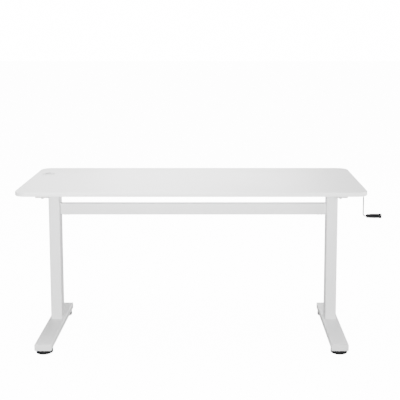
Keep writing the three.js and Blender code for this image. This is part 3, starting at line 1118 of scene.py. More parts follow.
@dataclass
class Tabletop:
    """The board with its edge band, and the cable grommet near its left rear corner.

    Args:
        shop: Where finished pieces go.
        corner: Radius of the board's corners.
        edge: Radius of its upper and lower edges.
        groove: Width of the seam between face and edge band.
    """

    shop: Shop
    corner: float = 50 * MM
    edge: float = 2.5 * MM
    groove: float = 0.5 * MM

    def build(self) -> None:
        """Builds the board, the ring and the cap."""
        self._board()
        self._ring()
        self._cap()

    def _board(self) -> None:
        """A block with round corners, a seam under the band, and the grommet's hole."""
        low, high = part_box("tabletop")
        board = Bench.block("board", low, high)
        Bench.round_edges(board, upright, self.corner, 24)
        rim = [low.z, high.z]
        Bench.round_edges(
            board,
            lambda edge: not upright(edge)
            and all(min(abs(v.co.z - z) for z in rim) < HAIR for v in edge.verts),
            self.edge,
            4,
        )
        for up in (1.0, -1.0):
            Bench.pick(board, faces=facing((0, 0, up), 0.999))
            bpy.ops.mesh.inset(thickness=0.4 * MM, depth=0.0)
            bpy.ops.mesh.inset(thickness=self.groove, depth=-0.25 * MM)
            bpy.ops.mesh.inset(thickness=self.groove, depth=0.25 * MM)
            Bench.clear()
        ring_low, ring_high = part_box("grommet_ring")
        middle = (ring_low + ring_high) / 2
        hole = Bench.rod("board_hole", (middle.x, middle.y, middle.z), 27 * MM, 60 * MM, sides=96)
        Bench.cut(board, hole)
        self._dress(board, low, high)
        self.shop.settle(board, "lift", SHADED_BOARD_FACE, "tabletop", angle=25.0)

    def _dress(self, board: bpy.types.Object, low: Vector, high: Vector) -> None:
        """Puts the edge band's finish on the faces outside the seam.

        Args:
            board: The board.
            low: Its lowest corner.
            high: Its highest corner.
        """
        # Slot 0 is the darker face laminate, slot 1 the lighter edge band: the difference is
        # painted shade on the faces.
        board.data.materials.append(SHADED_BOARD_FACE.material())
        board.data.materials.append(BOARD_EDGE.material())
        flat = (high.z - self.groove, low.z + self.groove)
        seam = 2.9 * MM
        for face in board.data.polygons:
            centre = face.center
            across = max(
                abs(centre.x) - (high.x - seam),
                abs(centre.y) - (high.y - seam),
                self._corner_reach(centre, high) - (self.corner - seam),
            )
            between = flat[1] < centre.z < flat[0]
            outer = across > 0 or (between and across > -self.corner / 50)
            face.material_index = 1 if outer else 0

    def _corner_reach(self, point: Vector, high: Vector) -> float:
        """How far a point lies from the centre of the nearest round corner, if it is in one.

        Args:
            point: The point.
            high: The board's highest corner.

        Returns:
            The distance, or nothing outside the corners.
        """
        x = abs(point.x) - (high.x - self.corner)
        y = abs(point.y) - (high.y - self.corner)
        return math.hypot(x, y) if x > 0 and y > 0 else 0.0

    def _ring(self) -> None:
        """The ring that lines the hole."""
        low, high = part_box("grommet_ring")
        x, y = (low.x + high.x) / 2, (low.y + high.y) / 2
        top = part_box("tabletop")[1].z
        profile = [
            (22.5 * MM, low.z - top),
            (26.3 * MM, low.z - top),
            (26.7 * MM, low.z - top + 0.4 * MM),
            (26.7 * MM, GAP),
            (29.6 * MM, GAP),
            (30.0 * MM, 0.6 * MM),
            (30.0 * MM, 1.1 * MM),
            (29.7 * MM, 1.7 * MM),
            (29.0 * MM, 2.1 * MM),
            (28.2 * MM, 2.2 * MM),
            (25.1 * MM, 2.2 * MM),
            (24.7 * MM, 1.9 * MM),
            (24.7 * MM, -1.0 * MM),
            (22.8 * MM, -1.0 * MM),
            (22.5 * MM, -1.3 * MM),
        ]
        ring = Bench.lathe("grommet_ring_trim", profile, (x, y, top), sides=96, closed=True)
        ring.data.materials.append(WHITE.material())
        ring.data.materials.append(GROMMET_SHADE.material())
        # Faces inside the ring's lip get the near-black material: painted shade in the hole seen
        # through the cap's notch.
        for face in ring.data.polygons:
            reach = math.hypot(face.center.x - x, face.center.y - y)
            if reach < 25.0 * MM and face.center.z < top + 1.9 * MM:
                face.material_index = 1
        self.shop.settle(ring, "lift", WHITE, "grommet_ring", angle=40.0)

    def _cap(self) -> None:
        """The cap that turns in the ring, with its cable notch and two shallow rings."""
        low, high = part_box("grommet_ring")
        x, y = (low.x + high.x) / 2, (low.y + high.y) / 2
        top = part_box("tabletop")[1].z
        profile = [
            (0.0, -0.7 * MM),
            (24.0 * MM, -0.7 * MM),
            (24.4 * MM, -0.3 * MM),
            (24.4 * MM, 1.5 * MM),
            (24.2 * MM, 1.95 * MM),
            (23.7 * MM, 2.2 * MM),
            (20.3 * MM, 2.2 * MM),
            (20.0 * MM, 1.9 * MM),
            (19.4 * MM, 1.9 * MM),
            (19.1 * MM, 2.2 * MM),
            (8.3 * MM, 2.2 * MM),
            (8.0 * MM, 1.9 * MM),
            (7.4 * MM, 1.9 * MM),
            (7.1 * MM, 2.2 * MM),
            (0.0, 2.2 * MM),
        ]
        cap = Bench.lathe("grommet_lid", profile, (x, y, top), sides=96)
        half, inner = 13 * MM, (24.4 - 13) * MM
        near = (x - half, y + inner, top - 10 * MM)
        far = (x + half, y + inner + 30 * MM, top + 10 * MM)
        notch = Bench.block("notch", near, far)
        Bench.round_edges(notch, upright, 3 * MM, 6)
        notch.data.transform(
            Matrix.Translation((x, y, 0))
            @ Matrix.Rotation(math.radians(22), 4, "Z")
            @ Matrix.Translation((-x, -y, 0))
        )
        Bench.cut(cap, notch)
        Bench.soften(cap, 0.25 * MM, 2, 50.0)
        self.shop.settle(cap, "grommet_cap", WHITE, "grommet_cap", angle=40.0)


# ---------------------------------------------------------------------------
# Feet
# ---------------------------------------------------------------------------


@dataclass
class Foot:
    """One foot: a rectangular steel tube, its end caps and its levelling pads.

    Args:
        shop: Where finished pieces go.
        side: Which leg it belongs to.
        corner: Radius of the tube's corners.
        wall: Thickness of its wall.
        pitch: Rise of the levelling thread in one turn.
        face: Thickness of an end cap's face.
    """

    shop: Shop
    side: Side
    corner: float = 3.2 * MM
    wall: float = 2 * MM
    pitch: float = 1.25 * MM
    face: float = 3 * MM

    def build(self) -> None:
        """Builds the foot from the beam to its pads."""
        self._beam()
        for end in End:
            self._cap(end)
            self._pad(end)
            self._stud(end)
            self._bolt(end)

    def _beam(self) -> None:
        """The tube, with holes for its bolts and levelling studs."""
        name = f"foot_beam_{self.side.word}"
        low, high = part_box(name)
        shown = f"foot_tube_{self.side.word}"
        beam = self.shop.repeat("beam", shown, name, lambda: self._tube(shown, low, high))
        self.shop.settle(beam, "base", PAINT, name)

    def _tube(self, shown: str, low: Vector, high: Vector) -> bpy.types.Object:
        """Models the beam and drills it.

        Args:
            shown: The new piece's name.
            low: The lowest corner.
            high: The highest corner.

        Returns:
            The piece.
        """
        beam = rounded_tube(shown, low, high, Axis.Y, self.corner, self.wall)
        tools = []
        for end in End:
            stud_low, stud_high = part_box(f"levelling_stud_{end.word}_{self.side.word}")
            bolt_low, bolt_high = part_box(f"foot_bolt_{end.word}_{self.side.word}")
            stud, bolt = (stud_low + stud_high) / 2, (bolt_low + bolt_high) / 2
            under = (stud.x, stud.y, low.z)
            tools.append(Bench.rod("stud_hole", under, 4.3 * MM, 10 * MM, sides=32))
            tools.append(Bench.rod("bolt_hole", (bolt.x, bolt.y, 0.03), 4.3 * MM, 0.06, sides=32))
        Bench.cut(beam, *tools)
        return beam

    def _cap(self, end: End) -> None:
        """A plastic cap with rounded edges and the plug that holds it in the tube.

        Args:
            end: Which end of the foot or arm.
        """
        name = f"foot_cap_{end.word}_{self.side.word}"
        shown = f"foot_end_{end.word}_{self.side.word}"
        kind = f"foot_end_{end.word}"
        cap = self.shop.repeat(kind, shown, name, lambda: self._plug(shown, name, end))
        self.shop.settle(cap, "base", WHITE, name, angle=40.0)

    def _plug(self, shown: str, name: str, end: End) -> bpy.types.Object:
        """Models the cap's face and the plug behind it.

        Args:
            shown: The new piece's name.
            name: The CAD node that it stands for.
            end: Which end of the foot or arm.

        Returns:
            The piece.
        """
        low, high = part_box(name)
        outer = low.y if end is End.FRONT else high.y
        inner = outer - end.value * self.face
        front, back = sorted((outer, inner))
        face = Bench.block(name + "_face", (low.x, front, low.z), (high.x, back, high.z))
        Bench.round_edges(face, lengthwise(Axis.Y), 3 * MM, 8)
        Bench.round_edges(
            face,
            lambda edge: all(abs(v.co.y - outer) < HAIR for v in edge.verts),
            1.0 * MM,
            4,
        )
        Bench.round_edges(
            face,
            lambda edge: all(abs(v.co.y - inner) < HAIR for v in edge.verts),
            0.7 * MM,
            2,
        )
        Bench.clean(face)
        root = 2.3 * MM
        reach = inner - end.value * 12 * MM
        plug = rounded_tube(
            name + "_plug",
            Vector((low.x + root, min(inner + end.value * 0.5 * MM, reach), low.z + root)),
            Vector((high.x - root, max(inner + end.value * 0.5 * MM, reach), high.z - root)),
            Axis.Y,
            2 * MM,
            2 * MM,
            5,
        )
        return Bench.join(shown, [face, plug])

    def _pad(self, end: End) -> None:
        """A moulded pad with a fluted rim and rings pressed into its sole.

        Args:
            end: Which end of the foot or arm.
        """
        word = f"{end.word}_{self.side.word}"
        name = f"levelling_pad_{word}"
        pad = self.shop.repeat("pad", f"pad_{word}", name, lambda: self._sole(f"pad_{word}", name))
        self.shop.settle(pad, f"pad_{word}", PAD_BLACK, name, angle=35.0)

    def _sole(self, shown: str, name: str) -> bpy.types.Object:
        """Models the pad, turned and then fluted.

        Args:
            shown: The new piece's name.
            name: The CAD node that it stands for.

        Returns:
            The piece.
        """
        low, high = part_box(name)
        centre = ((low.x + high.x) / 2, (low.y + high.y) / 2, 0.0)
        radius = (high.x - low.x) / 2
        top = high.z
        profile = [
            (0.0, 0.4 * MM),
            (18.0 * MM, 0.4 * MM),
            (18.6 * MM, 0.0),
            (radius - 1.6 * MM, 0.0),
            (radius - 0.8 * MM, 0.25 * MM),
            (radius - 0.25 * MM, 0.8 * MM),
            (radius, 1.7 * MM),
            (radius, 4.6 * MM),
            (radius, 13.8 * MM),
            (radius - 0.5 * MM, top - 1.5 * MM),
            (radius - 1.4 * MM, top - 0.5 * MM),
            (radius - 2.6 * MM, top),
            (12.0 * MM, top),
            (11.6 * MM, top - 0.8 * MM),
            (4.6 * MM, top - 0.8 * MM),
            (4.3 * MM, top - 1.1 * MM),
            (4.3 * MM, 4.7 * MM),
            (0.0, 4.7 * MM),
        ]
        pad = Bench.lathe(shown, profile, centre, sides=96)
        x, y = centre[0], centre[1]

        def grooved(face: bmesh.types.BMFace) -> bool:
            """Every other tall face of the rim.

            Args:
                face: The face.

            Returns:
                Whether it is.
            """
            middle = face.calc_center_median()
            if not 6.5 * MM < middle.z < 13 * MM or abs(face.normal.z) > 0.2:
                return False
            if math.hypot(middle.x - x, middle.y - y) < radius - 1 * MM:
                return False
            step = math.atan2(middle.y - y, middle.x - x) / math.tau * 96
            return math.floor(step) % 2 == 0

        Bench.flute(pad, grooved, 0.4 * MM, 0.35 * MM)
        return pad

    def _stud(self, end: End) -> None:
        """The threaded stud above a pad.

        Args:
            end: Which end of the foot or arm.
        """
        word = f"{end.word}_{self.side.word}"
        name = f"levelling_stud_{word}"
        low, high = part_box(name)
        stud = self.shop.repeat(
            "stud",
            f"stud_{word}",
            name,
            lambda: Bench.thread(
                f"stud_{word}", (low + high) / 2, low.z, high.z, 3.98 * MM, self.pitch, 0.6 * MM
            ),
        )
        self.shop.settle(stud, f"stud_{word}", SCREW_STEEL, name, angle=25.0)

    def _bolt(self, end: End) -> None:
        """A hexagonal bolt with a chamfered head under the foot.

        Args:
            end: Which end of the foot or arm.
        """
        word = f"{end.word}_{self.side.word}"
        name, shown = f"foot_bolt_{word}", f"foot_screw_{word}"
        bolt = self.shop.repeat("foot_bolt", shown, name, lambda: self._hexagon(shown, name))
        self.shop.settle(bolt, "base", GEAR_STEEL, name)

    def _hexagon(self, shown: str, name: str) -> bpy.types.Object:
        """Models the bolt's head and shank.

        Args:
            shown: The new piece's name.
            name: The CAD node that it stands for.

        Returns:
            The piece.
        """
        low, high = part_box(name)
        x, y = (low.x + high.x) / 2, (low.y + high.y) / 2
        head_top = low.z + 5 * MM
        head = Bench.rod("bolt_head", (x, y, (low.z + head_top) / 2), 6.5 * MM, 5 * MM, sides=6)
        Bench.soften(head, 0.5 * MM, 3, 40.0)
        shank = Bench.lathe(
            "bolt_shank",
            [
                (0.0, head_top - 1 * MM),
                (4 * MM, head_top - 1 * MM),
                (4 * MM, high.z - 0.8 * MM),
                (3.3 * MM, high.z),
                (0.0, high.z),
            ],
            (x, y, 0.0),
            sides=32,
        )
        return Bench.join(shown, [head, shank])


# ---------------------------------------------------------------------------
# Legs
# ---------------------------------------------------------------------------


@dataclass
class Leg:
    """One telescoping leg: the fixed outer column, the rising inner one and its drive.

    Args:
        shop: Where finished pieces go.
        side: Which leg it is.
        wall: Thickness of the steel.
        lead: Rise of the desk in one turn of the screw.
    """

    shop: Shop
    side: Side
    wall: float = 1.8 * MM
    lead: float = 8 * MM

    def build(self) -> None:
        """Builds the two columns, the sleeve between them and the lead screw."""
        self._outer()
        self._inner()
        self._sleeve()
        self._screw()
        for node, finish in (
            ("nut_post", GEAR_STEEL),
            ("screw_nut", TURNED_BRASS),
            ("inner_glide", NYLON),
            ("gear_carrier", CASTING),
            ("screw_gear", GEAR_STEEL),
            ("rod_gear", GEAR_STEEL),
        ):
            self.shop.dress_node(f"{node}_{self.side.word}", finish)

    def _outer(self) -> None:
        """The fixed column."""
        name = f"outer_column_{self.side.word}"
        low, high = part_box(name)
        shown = f"column_outer_{self.side.word}"
        column = self.shop.repeat(
            "column",
            shown,
            name,
            lambda: rounded_tube(shown, low, high, Axis.Z, 4 * MM, self.wall, 10),
        )
        self.shop.settle(column, "base", PAINT, name)

    def _inner(self) -> None:
        """The rising column, with holes for the cross rod."""
        name = f"inner_column_{self.side.word}"
        low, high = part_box(name)
        shown = f"column_inner_{self.side.word}"
        column = rounded_tube(shown, low, high, Axis.Z, 3 * MM, self.wall, 10)
        middle = (low + high) / 2
        faces = [1] if self.side is Side.LEFT else [-1, 1]
        tools = []
        for face in faces:
            at = (middle.x + face * 22 * MM, middle.y, ROD_LINE)
            tools.append(Bench.rod("rod_hole", at, 6.3 * MM, 9 * MM, Axis.X))
        Bench.cut(column, *tools)
        self.shop.settle(column, "lift", PAINT, name)

    def _sleeve(self) -> None:
        """The plastic sleeve in the mouth of the outer column, with its rim."""
        name = f"glide_sleeve_{self.side.word}"
        shown = f"sleeve_{self.side.word}"
        sleeve = self.shop.repeat("sleeve", shown, name, lambda: self._rim(shown, name))
        self.shop.settle(sleeve, "base", NYLON, name, angle=40.0)

    def _rim(self, shown: str, name: str) -> bpy.types.Object:
        """Models the sleeve's rim and the skirt that hangs from it.

        Args:
            shown: The new piece's name.
            name: The CAD node that it stands for.

        Returns:
            The piece.
        """
        low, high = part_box(name)
        rim_low = high.z - 3 * MM
        rim = rounded_tube(
            name + "_rim", Vector((low.x, low.y, rim_low)), high, Axis.Z, 4 * MM, 3.2 * MM, 10
        )
        inset = 2.1 * MM
        skirt = rounded_tube(
            name + "_skirt",
            Vector((low.x + inset, low.y + inset, low.z)),
            Vector((high.x - inset, high.y - inset, rim_low + 1 * MM)),
            Axis.Z,
            3.2 * MM,
            1.1 * MM,
            6,
        )
        return Bench.join(shown, [rim, skirt])

    def _screw(self) -> None:
        """The lead screw with its real thread and the plain neck that holds its gear."""
        name = f"lead_screw_{self.side.word}"
        shown = f"screw_{self.side.word}"
        screw = self.shop.repeat("screw", shown, name, lambda: self._spindle(shown, name))
        self.shop.settle(screw, shown, SCREW_STEEL, name, angle=25.0)

    def _spindle(self, shown: str, name: str) -> bpy.types.Object:
        """Models the screw's threaded bar and its neck.

        Args:
            shown: The new piece's name.
            name: The CAD node that it stands for.

        Returns:
            The piece.
        """
        low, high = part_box(name)
        x, y = (low.x + high.x) / 2, (low.y + high.y) / 2
        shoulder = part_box(f"gear_carrier_{self.side.word}")[0].z - GAP
        bar = Bench.thread(
            name + "_bar", (x, y), low.z, shoulder, 6.95 * MM, self.lead, 1.6 * MM, 24
        )
        neck = Bench.lathe(
            name + "_neck",
            [
                (0.0, shoulder - 2 * MM),
                (4.4 * MM, shoulder - 2 * MM),
                (4.4 * MM, high.z - 0.7 * MM),
                (3.7 * MM, high.z),
                (0.0, high.z),
            ],
            (x, y, 0.0),
            sides=32,
        )
        return Bench.join(shown, [bar, neck])


# ---------------------------------------------------------------------------
# Crossbar
# ---------------------------------------------------------------------------


@dataclass
class Crossbar:
    """The bar between the legs, its end brackets and their bolts.

    Args:
        shop: Where finished pieces go.
        wall: Thickness of the bar's wall.
        plate: Thickness of a bracket's plate.
    """

    shop: Shop
    wall: float = 1.5 * MM
    plate: float = 3 * MM

    def build(self) -> None:
        """Builds the bar, then both ends."""
        self._bar()
        for side in Side:
            self._bracket(side)
            for place in ("outer", "inner"):
                self._bolt(side, place)

    def _bolt_middle(self, side: Side, place: str) -> Vector:
        """The middle of a bolt's box."""
        low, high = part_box(f"crossbar_bolt_{place}_{side.word}")
        return (low + high) / 2

    def _bar(self) -> None:
        """The rectangular tube, with bolt holes in its underside."""
        low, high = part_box("crossbar")
        bar = rounded_tube("cross_tube", low, high, Axis.X, 3 * MM, self.wall, 8)
        tools = []
        for side in Side:
            for place in ("outer", "inner"):
                at = self._bolt_middle(side, place)
                under = (at.x, at.y, low.z)
                tools.append(Bench.rod("bolt_hole", under, 2.8 * MM, 8 * MM, sides=24))
        Bench.cut(bar, *tools)
        # The bar takes the lighter copy of the frame paint: painted light on the bar.
        self.shop.settle(bar, "base", LIT_BAR_PAINT, "crossbar")

    def _bracket(self, side: Side) -> None:
        """A plate against the column, with the tongue that holds the bar.

        Args:
            side: Which leg.
        """
        name = f"crossbar_bracket_{side.word}"
        shown = f"bar_bracket_{side.word}"
        bracket = self.shop.repeat(
            "bracket", shown, name, lambda: self._tongue(side, shown, name), Axis.X
        )
        self.shop.settle(bracket, "base", PAINT, name)

    def _tongue(self, side: Side, shown: str, name: str) -> bpy.types.Object:
        """Models the bracket's plate and tongue.

        Args:
            side: Which leg.
            shown: The new piece's name.
            name: The CAD node that it stands for.

        Returns:
            The piece.
        """
        low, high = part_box(name)
        face = high.x if side is Side.RIGHT else low.x
        back = face - side.value * self.plate
        plate = Bench.block(
            name + "_plate", (min(face, back), low.y, low.z), (max(face, back), high.y, high.z)
        )
        Bench.round_edges(plate, lengthwise(Axis.X), 2 * MM, 6)
        Bench.soften(plate, 0.4 * MM, 2, 50.0)
        inset = 1.8 * MM
        tip = low.x if side is Side.RIGHT else high.x
        root = back + side.value * 0.5 * MM
        tongue = rounded_tube(
            name + "_tongue",
            Vector((min(root, tip), low.y + inset, low.z + inset)),
            Vector((max(root, tip), high.y - inset, high.z - inset)),
            Axis.X,
            3 * MM,
            2 * MM,
            6,
        )
        return Bench.join(shown, [plate, tongue])

    def _bolt(self, side: Side, place: str) -> None:
        """A button-head bolt with a hexagonal socket, seen from below.

        Args:
            side: Which leg.
            place: Which of the places on that side.
        """
        name, shown = f"crossbar_bolt_{place}_{side.word}", f"bar_bolt_{place}_{side.word}"
        bolt = self.shop.repeat("bar_bolt", shown, name, lambda: self._button(shown, name))
        self.shop.settle(bolt, "base", GEAR_STEEL, name)

    def _button(self, shown: str, name: str) -> bpy.types.Object:
        """Models the button-head bolt.

        Args:
            shown: The new piece's name.
            name: The CAD node that it stands for.

        Returns:
            The piece.
        """
        low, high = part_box(name)
        at = (low + high) / 2
        profile = [
            (0.0, 0.0),
            (2.6 * MM, 0.0),
            (3.7 * MM, 0.6 * MM),
            (4.3 * MM, 1.6 * MM),
            (4.5 * MM, 3.0 * MM),
            (2.5 * MM, 3.0 * MM),
            (2.5 * MM, high.z - low.z - 0.5 * MM),
            (2.1 * MM, high.z - low.z),
            (0.0, high.z - low.z),
        ]
        bolt = Bench.lathe(shown, profile, (at.x, at.y, low.z), sides=32)
        socket = Bench.rod("socket", (at.x, at.y, low.z), 1.7 * MM, 3.6 * MM, sides=6)
        Bench.cut(bolt, socket)
        return bolt


# ---------------------------------------------------------------------------
# Support arms
# ---------------------------------------------------------------------------


@dataclass
class SupportArm:
    """A pressed-steel pan under the tabletop, with its two screws.

    Args:
        shop: Where finished pieces go.
        side: Which leg carries it.
        wall: Thickness of the sheet.
        cutback: How far the ends slope in underneath.
    """

    shop: Shop
    side: Side
    wall: float = 2 * MM
    cutback: float = 9 * MM

    def build(self) -> None:
        """Builds the pan and the screws."""
        self._pan()
        for end in End:
            self._screw(end)

    def _pan(self) -> None:
        """A block whose lower end edges are moved in, opened upwards and given a wall."""
        name, shown = f"support_arm_{self.side.word}", f"arm_pan_{self.side.word}"
        pan = self.shop.repeat("pan", shown, name, lambda: self._sheet(shown, name))
        self.shop.settle(pan, "lift", PAINT, name)

    def _sheet(self, shown: str, name: str) -> bpy.types.Object:
        """Models the pan and drills it.

        Args:
            shown: The new piece's name.
            name: The CAD node that it stands for.

        Returns:
            The piece.
        """
        low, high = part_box(name)
        pan = Bench.block(shown, low, high)
        for end in End:
            tip = low.y if end is End.FRONT else high.y
            Bench.pick(pan, faces=facing((0, end.value, 0)))
            bpy.ops.mesh.subdivide(number_cuts=1)
            Bench.clear()
            Bench.pick(
                pan,
                edges=lambda edge: all(
                    abs(v.co.y - tip) < HAIR and v.co.z < low.z + HAIR for v in edge.verts
                ),
            )
            bpy.ops.transform.translate(value=(0, -end.value * self.cutback, 0))
            Bench.clear()
            self._slide_row(pan, tip, low.z, high.z)
        Bench.round_edges(pan, self._outer_edges(low, high), 2.0 * MM, 5)
        Bench.pick(pan, faces=facing((0, 0, 1)))
        bpy.ops.mesh.delete(type="FACE")
        Bench.clear()
        Bench.clean(pan)
        Bench.shell(pan, self.wall)
        tools = []
        for end in End:
            screw_low, screw_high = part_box(f"arm_screw_{end.word}_{self.side.word}")
            at = (screw_low + screw_high) / 2
            tools.append(Bench.rod("screw_hole", (at.x, at.y, low.z), 3.3 * MM, 10 * MM, sides=32))
        Bench.cut(pan, *tools)
        return pan

    def _slide_row(self, pan: bpy.types.Object, tip: float, bottom: float, top: float) -> None:
        """Drops the row of points half way up an end to where the slope begins.

        Args:
            pan: The pan.
            tip: Where the end is along y.
            bottom: Height of the lower face.
            top: Height of the upper face.
        """
        middle = (bottom + top) / 2
        Bench.hold(pan)
        bpy.ops.object.mode_set(mode="EDIT")
        bpy.ops.mesh.select_mode(type="VERT")
        bpy.ops.mesh.select_all(action="DESELECT")
        mesh = bmesh.from_edit_mesh(pan.data)
        for vertex in mesh.verts:
            vertex.select_set(abs(vertex.co.y - tip) < HAIR and abs(vertex.co.z - middle) < HAIR)
        bmesh.update_edit_mesh(pan.data)
        bpy.ops.transform.translate(value=(0, 0, bottom + self.cutback - middle))
        Bench.clear()

    def _outer_edges(self, low: Vector, high: Vector) -> Callable[[bmesh.types.BMEdge], bool]:
        """A test for every outer edge below the open top.

        Args:
            low: The lowest corner.
            high: The highest corner.

        Returns:
            The test.
        """

        def test(edge: bmesh.types.BMEdge) -> bool:
            """Whether the edge is an outer one and sharp.

            Args:
                edge: The edge.

            Returns:
                Whether it is.
            """
            if all(abs(v.co.z - high.z) < HAIR for v in edge.verts):
                return False
            return edge.is_manifold and edge.calc_face_angle(0.0) > math.radians(20)

        return test

    def _screw(self, end: End) -> None:
        """A domed screw with a cross recess, its head under the arm.

        Args:
            end: Which end of the foot or arm.
        """
        name = f"arm_screw_{end.word}_{self.side.word}"
        shown = f"pan_screw_{end.word}_{self.side.word}"
        screw = self.shop.repeat("pan_screw", shown, name, lambda: self._dome(shown, name))
        self.shop.settle(screw, "lift", BLACKENED, name)

    def _dome(self, shown: str, name: str) -> bpy.types.Object:
        """Models the screw and cuts its recess.

        Args:
            shown: The new piece's name.
            name: The CAD node that it stands for.

        Returns:
            The piece.
        """
        low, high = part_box(name)
        x, y = (low.x + high.x) / 2, (low.y + high.y) / 2
        profile = [
            (0.0, 0.0),
            (2.2 * MM, 0.08 * MM),
            (4.2 * MM, 0.55 * MM),
            (5.6 * MM, 1.4 * MM),
            (6.5 * MM, 2.7 * MM),
            (6.8 * MM, 4.2 * MM),
            (6.8 * MM, 5.0 * MM),
            (3.0 * MM, 5.0 * MM),
            (3.0 * MM, high.z - low.z - 3 * MM),
            (0.0, high.z - low.z),
        ]
        screw = Bench.lathe(shown, profile, (x, y, low.z), sides=48)
        long, thin, deep = 2.6 * MM, 0.55 * MM, 2.4 * MM
        tools = []
        for half_x, half_y in ((long, thin), (thin, long)):
            near = (x - half_x, y - half_y, low.z - 1 * MM)
            far = (x + half_x, y + half_y, low.z + deep)
            tools.append(Bench.block("recess", near, far))
        Bench.cut(screw, *tools)
        return screw


# ---------------------------------------------------------------------------
# Drive
# ---------------------------------------------------------------------------


